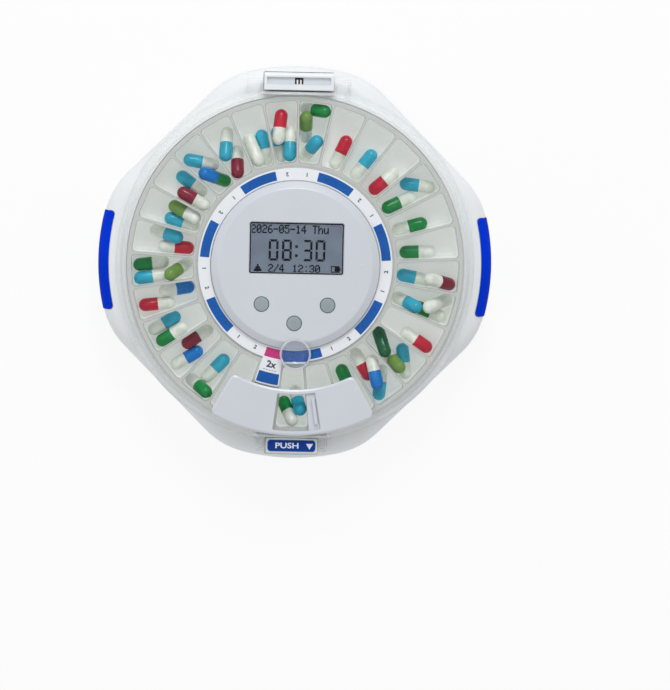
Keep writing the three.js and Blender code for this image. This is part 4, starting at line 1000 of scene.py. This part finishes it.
# %% Screen
SIGN_LOW, SIGN_TOP = 48.38, 48.46
screen_frame = cut(plate(rounded_box(-24.4, 25.4, -3.3, 22.5, 0.8), 44.0, 47.8),
                   plate(rounded_box(-23, 24, -1.9, 21.1, 0.6), 47.0, 49))
finish(screen_frame, "screen_frame", dark_plastic, "display_module")
finish(plate(screen_box(-1.05, 0.9), 47.85, 48.4), "screen_face", screen_grey)
finish(cut(plate(screen_box(-0.1, 1.1), 48.705, 48.74), plate(screen_box(-0.9, 0.8), 48, 49)),
       "screen_border", screen_ink)

DOTS = {
    "0": "01110 10001 10011 10101 11001 10001 01110", "1": "00100 01100 00100 00100 00100 00100 01110",
    "2": "01110 10001 00001 00110 01000 10000 11111", "3": "01110 10001 00001 00110 00001 10001 01110",
    "4": "00010 00110 01010 10010 11111 00010 00010", "5": "11111 10000 11110 00001 00001 10001 01110",
    "6": "00110 01000 10000 11110 10001 10001 01110", "-": "00000 00000 00000 11111",
    "/": "00001 00001 00010 00100 01000 10000 10000", ":": "00000 00100 00000 00000 00000 00100",
    "T": "11111 00100 00100 00100 00100 00100 00100", "h": "10000 10000 10110 11001 10001 10001 10001",
    "u": "00000 00000 10001 10001 10001 10011 01101", " ": "",
    "bell": "00100 00100 01110 01110 11111 11111 00100",
}
BARS = {"0": "abcdef", "8": "abcdefg", "3": "abgcd"}


def lit_dots(rows, x, y, step_x, step_y):
    """Runs of lit dots of a small sign as plates, from its upper left corner."""
    made = []
    for j, row in enumerate(rows.split()):
        i, top, lift = 0, y - j * step_y, 0.01 * (j % 2)
        while i < len(row):
            run = len(row[i:]) - len(row[i:].lstrip("1"))
            if run:
                made.append(block(x + i * step_x - 0.1, x + (i + run) * step_x + 0.1,
                                  top - step_y - 0.05, top + 0.05, SIGN_LOW + lift, SIGN_TOP + lift))
            i += run or 1
    return made


def line_of_dots(text, x, y, width, height):
    """A line of small signs; each is five dots wide in a space of width."""
    return [shape for k, sign in enumerate(text)
            for shape in lit_dots(DOTS[sign], x + k * width, y, width / 6, height / 7)]


def digit(bars_on, x, y):
    """A large digit of seven bars from its lower left corner."""
    w, h, t = 5.5, 12.0, 1.3
    m = h / 2
    shapes = {
        "a": [(0.5, h), (w - 0.5, h), (w - t, h - t), (t, h - t)],
        "g": [(t * 0.6, m), (t, m + t / 2), (w - t, m + t / 2), (w - t * 0.6, m),
              (w - t, m - t / 2), (t, m - t / 2)],
        "d": [(0.5, 0), (t, t), (w - t, t), (w - 0.5, 0)],
        "f": [(0, h - 0.5), (t, h - t - 0.2), (t, m + t / 2 + 0.1), (0, m + 0.2)],
        "b": [(w, h - 0.5), (w, m + 0.2), (w - t, m + t / 2 + 0.1), (w - t, h - t - 0.2)],
        "e": [(0, 0.5), (0, m - 0.2), (t, m - t / 2 - 0.1), (t, t + 0.2)],
        "c": [(w, 0.5), (w - t, t + 0.2), (w - t, m - t / 2 - 0.1), (w, m - 0.2)],
    }
    return [plate([(x + px, y + py) for px, py in shapes[name]], SIGN_LOW, SIGN_TOP)
            for name in bars_on]


lit = line_of_dots("2026-05-14 Thu", -25.3, 22.7, 3.15, 4.8)
for number, x in (("0", -15.2), ("8", -7.7), ("3", 3.9), ("0", 11.2)):
    lit += digit(BARS[number], x, 2.5)
lit += lit_dots(DOTS["bell"], -23.2, 0.4, 0.82, 0.66)
lit += line_of_dots("2/4", -15.2, 0.6, 3.1, 4.7) + line_of_dots("12:30", -1.6, 0.4, 3.2, 4.4)
TIME_COLON = ((-0.3, 1.2, 4.8, 6.3), (-0.3, 1.2, 9.9, 11.4))
BATTERY_SIGN = ((20.0, 24.8, -0.4, 0.1), (20.0, 24.8, -3.6, -3.1), (20.0, 20.5, -3.2, -0.3),
                (22.2, 24.8, -3.2, -0.3), (24.8, 25.4, -2.6, -0.9))
lit += [block(*box, SIGN_LOW, SIGN_TOP) for box in TIME_COLON + BATTERY_SIGN]
finish(together(lit), "screen_signs", screen_ink)
finish(soften(plate(screen_box(0, 1.2), 48.76, 49.9), 0.25), "screen_cover", screen_clear,
       "display_lens")
print("signs lit on the screen:", len(lit))

# %% [markdown]
# Three soft grey buttons stand a little proud of the hub. Each is spun with a gently domed top and
# the flange that keeps it in, and has a small raised sign: minus, ring and plus.

# %% Buttons
CAP_RADIUS, CAP_EDGE = 4.05, 50.0
dome = [(CAP_RADIUS - 0.5 * (1 - cos(a)), CAP_EDGE + 0.5 * sin(a)) for a in (0, 25, 50, 75)]
for name, (x, y) in BUTTONS.items():
    cap = turned([(0, 47.0), (5.15, 47.0), (5.15, 47.8), (CAP_RADIUS, 47.8)] + dome
                 + [(2.6, 50.66), (1.3, 50.7), (0, 50.7)], 48, (x, y))
    if name == "middle":
        sign = cut(rod(1.4, 50.5, 50.8, (x, y)), rod(0.85, 50, 51, (x, y)))
    else:
        sign = block(x - 1.3, x + 1.3, y - 0.28, y + 0.28, 50.5, 50.8)
    if name == "right":
        joined(sign, block(x - 0.28, x + 0.28, y - 1.3, y + 1.3, 50.5, 50.8))
    joined(cap, sign)
    finish(cap, f"button_cap_{name}", button_grey, f"button_{name}", f"button_{name}")
print("buttons:", ", ".join(BUTTONS))

# %% [markdown]
# The lid is one clear moulding: a flat roof with a round bore for the hub, a rolled rim, and a
# skirt that flares down to the stage. It's notched at the front for the latch and at the rear for
# the lock, and beside each notch stand two small hollow boxes. A spun section gives the round
# part, and boxes are joined to it and cut from it.

# %% Clear lid
LID_TOP, LID_SKIN, LID_FOOT = 48.1, 1.3, 33.16


def facing(side, x0, x1, near, far, z0, z1):
    """A block whose second span is a reach outwards, to the rear (1) or to the front (-1)."""
    return block(x0, x1, *((near, far) if side > 0 else (-far, -near)), z0, z1)


rim = [(96 + 2 * cos(a), 46.1 + 2 * sin(a)) for a in range(0, 91, 10)]
inside = [(94.6 + 1.4 * cos(a), 44.9 + 1.2 * sin(a)) for a in range(90, -1, -15)]
clear_lid = turned([(48.1, 46.1)] + inside
                   + [(99.2, 33.35), (99.5, LID_FOOT), (101.2, LID_FOOT), (101.4, 33.45)] + rim
                   + [(48.2, LID_TOP), (47.8, 47.8), (47.8, 46.3)], 240)
for side, notch, width, reach in ((-1, 15, 5, 105.5), (1, 20.2, 9, 104.5)):
    cut(clear_lid, facing(side, -notch, notch, END_WALL[1], 106, 30, 50))
    joined(clear_lid, facing(side, -notch - LID_SKIN, notch + LID_SKIN, *END_WALL, 38.6, 47.1))
    for hand in (-1, 1):
        edges = sorted((hand * notch, hand * (notch + width)))
        room = sorted((hand * (notch + LID_SKIN), hand * (notch + width - LID_SKIN)))
        joined(clear_lid, soften(facing(side, *edges, 96, reach, LID_FOOT, 45.6), 0.5))
        cut(clear_lid, facing(side, *room, END_WALL[1], reach - LID_SKIN, 30, 44.3))
dose_hole = plate(sector(73, 93, FRONT - 6.4, FRONT + 5.8, 0.5, 8, 3), 44, 49)
cut(clear_lid, rod(97.9, 30, 38.4, steps=180), dose_hole)
finish(clear_lid, "clear_lid_shell", lid_clear, "clear_lid", "lid", smooth=28)
print("lid faces:", len(clear_lid.data.polygons))

# %% [markdown]
# Two faint arrow marks on the lid point from the lens to the door. The lens itself is a thick clear
# disc with a domed top on a short frosted wall, which makes the dose mark under it easier to read.

# %% Arrow marks and lens
LENS = (1, -50)


def bulge(radius, sag, height, side):
    """Corners of a shallow cap from its rim to its middle; side is 1 upwards and -1 downwards."""
    curve = (radius ** 2 + sag ** 2) / (2 * sag)
    return [(r, height + side * (math.sqrt(curve ** 2 - r ** 2) - (curve - sag)))
            for r in (radius * (1 - (i / 12)) for i in range(13))]


arrows = [plate([(0, y), (5.2, y + 2.1), (5.2, y + 3.0), (0, y + 0.9), (-5.2, y + 3.0),
                 (-5.2, y + 2.1)], 48.05, 48.32) for y in (-63.6, -66.4)]
printed(arrows, "arrow_marks", lid_clear, "lid")
lens_glass = turned(bulge(7.6, 1.6, 50.45, -1)[::-1] + bulge(7.6, 1.0, 51.4, 1), 72, LENS)
lens_collar = turned([(7.75, 50.4), (7.6, 50.2), (7.6, LID_TOP), (8.8, LID_TOP), (8.8, 51.25),
                      (8.7, 51.5), (8.3, 51.62), (7.75, 51.6)], 72, LENS)
cut(lens_collar, rod(48.1, 44, 50.4, steps=144))
finish(lens_glass, "lens_glass", lens_clear, "dose_lens", "lid")
finish(lens_collar, "lens_collar", lens_frost, body="lid")
print("lens done")

# %% [markdown]
# The dispense panel is a white curved cover over the front of the lid, bevelled along its edge and
# hollow underneath. The small door runs in that hollow: it closes the hole in the lid when it is
# pushed to the left by its finger rib.

# %% Dispense panel and door
def panel_ring(inset, height):
    reach = 29 - math.degrees(inset / 83)
    return level(sector(70 + inset, 96 - inset, FRONT - reach, FRONT + reach, 3.4 - inset * 0.4,
                        40, 8), height)


dispense_panel = stack([panel_ring(0, LID_TOP)] + [panel_ring(inset, 50.1 + rise) for inset, rise in (
    (0.0, 0.0), (0.04, 0.16), (0.14, 0.3), (0.3, 0.4), (1.1, 0.8))])
hollow = stack([panel_ring(1.4, 46), panel_ring(1.4, 49.7)])
window = sector(72.6, 93.4, FRONT - 6.7, FRONT + 9.9, 0.5, 10, 3)
wider = sector(72.3, 93.7, FRONT - 6.95, FRONT + 10.15, 0.6, 10, 3)
cut(dispense_panel, hollow, stack([level(window, 47), level(window, 50.6), level(wider, 51.0)]))
finish(dispense_panel, "dispense_panel_cover", panel_white, "dispense_panel", "lid",
       smooth=22)

door_shape = sector(72.1, 93.9, FRONT + 5.9, FRONT + 18.4, 0.4, 10, 3)
door = soften(plate(door_shape, 48.3, 49.4), 0.15, 2)
rib = stack([level(rounded_box(83 - reach, 83 + reach, -half, half, corner), height)
             for reach, half, corner, height in ((7.5, 1, 0.9, 49.0), (7.5, 1, 0.9, 50.9),
                                                 (7.4, 0.85, 0.8, 51.3), (7.1, 0.55, 0.5, 51.5))])
rib.data.transform(turn(FRONT + 8.7))
joined(door, rib)
finish(door, "sliding_door_plate", panel_white, "dispense_door", "sliding_door",
       smooth=28)
print("panel and door done")

# %% [markdown]
# The latch is a pearl-white button that rocks on two pins and hooks over the lid's front wall. Its
# blue label is a separate moulding with one plain word and a downward arrow. Both latch and lock
# have one section all along their width, so each is drawn from the side and stretched along X.

# %% Press latch and label
LATCH_SPRING, LOCK_SPRING = (0, -103.1), (0, 103.6)
LABEL_TOP = 44.26


def bar_of(profile, reach):
    """A bar of this (y, height) section, from -reach to reach along X."""
    return stack([[(x, y, z) for y, z in profile] for x in (-reach, reach)])


latch = bar_of([(-98.6, 28.8), (-98.6, 42.2), (-98.05, 42.6), (-98.05, 43.3)]
               + arc(0.6, 0, 90, 4, (-98.65, 43.3))[1:] + arc(1.2, 90, 180, 4, (-105.8, 42.7))
               + [(-107.0, 33.7), (-105.6, 33.7), (-105.6, 41.3), (-100.6, 41.3), (-100.6, 28.8)], 14.6)
pins = combine(along_x(1.5, 16), block(-17, 17, -102.1, -98.6, 28, 41.3), "INTERSECT")
joined(latch, pins)
cut(latch, plate(rounded_box(-13.75, 13.75, -105.75, -98.85, 1.9), 43.6, 45),
    rod(2.35, 28.8, 41.3, LATCH_SPRING, 24))
finish(latch, "press_latch", latch_pearl, "latch_button", "latch", smooth=28)
label = stack([level(rounded_box(-13.45 + g, 13.45 - g, -105.45 + g, -99.15 - g, 1.7 - g), height)
               for g, height in ((0, 43.6), (0, 44.05), (0.12, 44.2), (0.35, 44.3))])
finish(label, "latch_label_plate", label_blue, "latch_label", "latch")
printed([words("PUSH", 4.3, LABEL_TOP, 0.14, move(-2.5, -102.35), 1.32, 0.1),
         plate([(10.2, -104.3), (12.2, -101.0), (8.2, -101.0)], LABEL_TOP, 44.4)],
        "latch_label_marks", ink_white, "latch")
print("latch faces:", len(latch.data.polygons))

# %% [markdown]
# The lock at the rear is a frosted block with a grey band sunk in its top, and a comb-shaped hole
# for a forked key. Pushed in, the key moves a small dark slider down against its spring.

# %% Key lock
lock = bar_of([(98.3, 25.7), (98.3, 44.2)] + arc(0.5, 180, 90, 4, (98.8, 44.2))[1:]
              + arc(1.6, 90, 0, 4, (106.4, 43.1)) + [(108.0, 25.7)], 19.6)
band_bed = plate(rounded_box(-18, 18, 101.5, 105.7, 0.5), 42.9, 46)
slide_way = block(-3, 3, 100.8, 106.4, 20, 41.3)
comb = [block(x, x + 1.0, 101.7, 105.4, 40.5, 43.4) for x in (-2.4, -0.5, 1.4)]
cut(lock, band_bed, slide_way, *comb, block(-2.4, 2.4, 104.2, 105.4, 40.5, 43.4))
finish(lock, "lock_block", lock_white, "lock_housing", smooth=28)
band = cut(plate(rounded_box(-17.95, 17.95, 101.55, 105.65, 0.5), 42.92, 43.0),
           plate(rounded_box(-2.6, 2.6, 101.6, 105.55, 0.2), 42, 44))
finish(band, "lock_band", lock_grey)
slide = cut(plate(rounded_box(-2.7, 2.7, 101.1, 106.1, 0.4), 32.9, 40.9),
            rod(2.5, 30, 36.9, LOCK_SPRING))
finish(slide, "lock_slide", dark_plastic, "lock_slider", "lock")
print("lock done")

# %% [markdown]
# The cells hold two-part capsules, as in the photograph. A capsule is spun about its long axis: a
# round end, a body, the lip of the cap, and the cap's round end. They are contents, so each only
# lies in its cell. Each row gives its cell, the middles of its cap's and its body's round ends as
# reach, side offset and height in the cell, and the two colours.

# %% Capsules
CAPSULE_RADIUS, CAPSULE_AXIS, BODY_SHARE = 3.7, 13.3, 0.965
CAP_STARTS = -0.55
CONTENTS = """
0 78.6 -4.6 32 88 0 40.3 green white
0 81.5 4.4 40.2 72.6 1.8 32 cyan white
2 66.1 0.1 32 79.4 0.1 32 green white
3 75 -3.6 32 61.7 -2.2 32 red white
3 81.8 -2.2 39.5 69.8 2.9 37 blue white
3 87.7 -5 32 77.8 3.9 32 cyan white
4 61.4 2.2 32 70.4 -3.1 40.3 dark_green dark_green
4 77.8 3.9 32 87.7 -5 32 cyan white
4 82.4 -4.4 40.3 72 -3.3 32 olive white
5 87.7 -5 32 74.4 -3.6 32 red white
6 72.1 -3.3 39.8 61.4 -1.6 32 cyan white
6 74 -3.5 32 87.3 -5 32 green white
6 79.3 -1.3 40.1 87.7 5 32 white white
7 61.4 -1.8 32 74.6 -3.6 32 cyan white
7 87.7 -5 32 76.9 -2.6 39.5 dark_red white
8 62.9 -2.3 32 76.2 -3.8 32 green white
9 74.6 -3.6 32 61.4 -2.2 32 green white
10 77.2 3.9 32 87.2 -4.9 32 cyan white
10 61.4 -1.7 34.5 74.4 -3.6 32 green white
11 61.9 -2.2 32 75.1 -3.6 32 red white
12 74.6 -3.6 32 61.4 -2.2 32 cyan white
13 74.6 -3.6 32 61.4 -2.2 32 red white
14 82.8 4.5 39.7 72 3.3 32 olive white
14 87.7 -5 40.3 87.7 5 32 green white
14 70.4 -3.1 40.3 61.4 2.2 32 cyan white
15 74.6 3.6 32 61.4 2.2 32 cyan white
15 84.3 0.5 37.2 71.6 3.3 40.3 red white
15 61.8 -2.2 38.7 74.5 -3.6 34.9 cyan white
16 62.3 2.3 38.4 75.1 3.6 34.8 white white
16 74.6 -3.6 32 61.4 -2.2 32 cyan white
17 73 3.4 37.2 83.1 -3.5 32 cyan white
17 61.4 2.2 38.9 71.4 -3.2 32 dark_red white
18 72.2 3.3 37.6 61.4 -2.2 32 blue green
18 83.4 4.5 32 72.7 -3.4 32 cyan white
19 80.3 -3.3 32 67 -2.8 32 cyan white
19 74.6 3.6 36.6 61.4 2.2 37.3 dark_red white
20 75.2 -3.6 34.9 62.4 -2.3 38.3 olive white
20 74.6 3.6 32 61.4 2.2 32 cyan white
21 68.4 -2.9 36.9 80.7 -4.3 32.1 cyan white
21 61.4 2.2 32 74.6 3.6 32 red white
22 87.8 -2.5 32 74.5 -3.6 32 green white
22 87.7 5 33.8 74.4 3.6 34 cyan white
22 70.4 3.1 40.3 61.4 -2.2 32 olive white
23 61.8 -2.2 32 74.8 -3.6 34.3 blue white
23 87.8 1.6 32 74.6 3.6 32 red white
24 74.5 -3.6 32 87.8 -2.8 32 cyan white
24 86.5 4.9 32.1 73.5 3.5 34.3 green white
25 75.2 -3.7 34.4 62.2 -2.2 32 dark_red white
25 74.6 3.6 32 87.8 1.7 32 blue white
26 68 2.2 32 81.2 0.8 32 cyan white
26 87.7 5 40.3 87.7 -5 32 green white
"""


def gelatin(name, color):
    """Shiny soft shell, a little deeper in colour in cloudy patches."""
    look = Look(f"capsule_{name}", color, 0.22, Specular_IOR_Level=0.35)
    cloud = look.noise(5)
    look.set("Base Color", look.mix(cloud.ramp(0.3, 0.7), deeper(look.light, 0.18), look.light))
    look.set("Roughness", 0.18 + cloud * 0.12)
    look.bump(look.noise(1.2), 0.01)
    return look


shells = {name: gelatin(name, color) for name, color in {
    "white": (232, 238, 228), "red": (196, 20, 52), "dark_red": (134, 30, 56), "blue": (0, 118, 200),
    "cyan": (44, 172, 202), "green": (0, 134, 62), "dark_green": (0, 92, 54),
    "olive": (112, 152, 72), "teal": (10, 92, 104)}.items()}
shell_order = list(shells)
body_radius, half_axis = CAPSULE_RADIUS * BODY_SHARE, CAPSULE_AXIS / 2
round_end = range(18, 90, 18)
capsule_form = turned(
    [(0, -half_axis - body_radius)]
    + [(body_radius * sin(a), -half_axis - body_radius * cos(a)) for a in round_end]
    + [(body_radius, -half_axis), (body_radius, -0.6), (CAPSULE_RADIUS * 0.985, -0.5),
       (CAPSULE_RADIUS, -0.3), (CAPSULE_RADIUS, half_axis)]
    + [(CAPSULE_RADIUS * cos(a), half_axis + CAPSULE_RADIUS * sin(a)) for a in round_end]
    + [(0, half_axis + CAPSULE_RADIUS)], 20)
rows, places = [], []
for row in CONTENTS.strip().split("\n"):
    cell, *numbers, cap_color, body_color = row.split()
    cap_end, body_end = Vector(map(float, numbers[:3])) * MM, Vector(map(float, numbers[3:])) * MM
    spin, middle = turn(FRONT + int(cell) * CELL_TURN), (cap_end + body_end) / 2
    lay = (cap_end - body_end).to_track_quat("Z", "Y").to_matrix().to_4x4()
    places.append(spin @ Matrix.Translation(middle) @ lay)
    axis = (spin.to_3x3() @ (cap_end - body_end)).normalized()
    rows.append((spin @ middle, axis, cap_color, body_color))
made = copies(capsule_form, places)
for piece, (middle, axis, cap_color, body_color) in zip(made, rows):
    for look in shells.values():
        piece.data.materials.append(look.material)
    for face in piece.data.polygons:
        in_cap = (face.center - middle).dot(axis) > CAP_STARTS * MM
        face.material_index = shell_order.index(cap_color if in_cap else body_color)
capsules = together(made)
choose(capsules)
bpy.ops.object.shade_smooth_by_angle(angle=math.radians(50))
capsules.name = capsules.data.name = "capsules"
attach(capsules, "tray")
print("capsules:", len(made))

# %% [markdown]
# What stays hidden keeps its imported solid, or a finer piece, and gets a fitting finish too, because
# the lid lifts, the battery door comes off and the model can be opened up. The four cells and the
# small screws are worth making again: the cells have a foil sleeve, a shoulder and a nub.

# %% Cells and small screws
CELL_HALF, CELL_HEIGHT = 25.25, 11.1
cell_profile = [(0, -CELL_HALF), (4.6, -CELL_HALF), (4.9, -25.0), (6.6, -25.0), (7.1, -24.5),
                (7.1, 23.4), (6.9, 23.75), (5.9, 23.95), (3.4, 23.95), (2.9, 24.1), (2.75, 24.4),
                (2.75, 25.05), (2.5, CELL_HALF), (0, CELL_HALF)]
for i, y in enumerate((-22.05, -7.35, 7.35, 22.05), 1):
    nub_side = 1 if i % 2 == 0 else -1
    sleeve = turned(cell_profile, 48)
    sleeve.data.transform(move(0, y, CELL_HEIGHT) @ turn(90 * nub_side, "Y"))
    finish(sleeve, f"cell_{i}", [cell_wrap, steel], f"battery_{i}", smooth=30)
    for face in sleeve.data.polygons:
        along = face.center.x * nub_side / MM
        off = math.hypot(face.center.y / MM - y, face.center.z / MM - CELL_HEIGHT)
        face.material_index = 1 if along < -24.9 and off < 5 or along > 23.8 and off < 5.8 else 0
screws("motor_ear_screw", "motor_screw", MOTOR_EARS, 1.3, 7, 2.6, 1.4, 35.3, 1)
screws("board_post_screw", "board_screw", BOARD_POSTS[1:] + BOARD_POSTS[:1],
       1.1, 4.9, 2.3, 1.3, 42.4, -1)
print("cells and small screws done")

# %% [markdown]
# The motor is a round can with two ears, a raised cap where its shaft comes out, and the shaft. Its
# two springs' wire is wound by the Screw modifier, which carries a small circle up a helix. A spring's
# foot rests on the housing and its head on the piece that it pushes on, but the spring stays fixed
# where it is made and rides on no body. The other inner solids are already the right shape and only get
# their finish.

# %% Motor, springs and the other inner pieces
WIRE = 0.35
COIL_TURNS = 5

motor = turned([(0, 20.3), (12.4, 20.3), (12.8, 20.5), (13, 20.9), (13, 34.6), (12.8, 35.1),
                (12.4, 35.3), (0, 35.3)], 96, (-28, 0))
ears = soften(plate(arc(3.4, 180, 360, 12, MOTOR_EARS[0]) + arc(3.4, 0, 180, 12, MOTOR_EARS[1]),
                    34.1, 35.3), 0.2, 2)
joined(motor, ears,
       turned([(0, 34.5), (4.5, 34.5), (4.5, 35.8), (4.2, 36.1), (0, 36.1)], 48, (-36, 0)),
       turned([(0, 35.3), (2.5, 35.3), (2.5, 41.2), (2.2, 41.5), (0, 41.5)], 36, (-36, 0)))
cut(motor, *[rod(1.6, 33, 37, place) for place in MOTOR_EARS])
finish(motor, "geared_motor", steel, "gear_motor", smooth=30)

for name, radius, (x, y) in (("latch", 1.7, LATCH_SPRING), ("lock", 1.9, LOCK_SPRING)):
    low, high = [corner.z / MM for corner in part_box(f"{name}_spring")]
    fresh()
    bpy.ops.mesh.primitive_circle_add(vertices=10, radius=WIRE * MM, fill_type="NGON")
    coil = bpy.context.object
    coil.data.transform(move(radius, 0, low + WIRE) @ turn(90, "X"))
    modified(coil, "SCREW", axis="Z", iterations=COIL_TURNS, steps=20, render_steps=20,
             screw_offset=(high - low - 2 * WIRE) * MM / COIL_TURNS)
    coil.data.transform(move(x, y))
    editing(coil)
    bpy.ops.mesh.fill_holes(sides=0)
    done()
    outward(coil, 0.000001)
    ends = [(x * MM, y * MM, height * MM) for height in (low, high)]
    finish(coil, f"{name}_coil_spring", steel, f"{name}_spring", ("housing", name, *ends))

kept = {
    "battery_contact_left": brass, "battery_contact_right": brass, "buzzer": dark_plastic,
    "motor_pinion": gear_cream, "tray_ring_gear": gear_cream, "main_board": board_green,
    "index_sensor": dark_plastic, "tilt_sensor": steel,
    "switch_left": dark_plastic, "switch_middle": dark_plastic, "switch_right": dark_plastic,
}
for name, look in kept.items():
    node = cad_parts[name]
    node.data.materials.clear()
    node.data.materials.append(look.material)
left = [name for name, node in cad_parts.items() if not node.hide_render and name not in kept]
print("solids that keep their shape:", len(kept), "without a finish:", left)
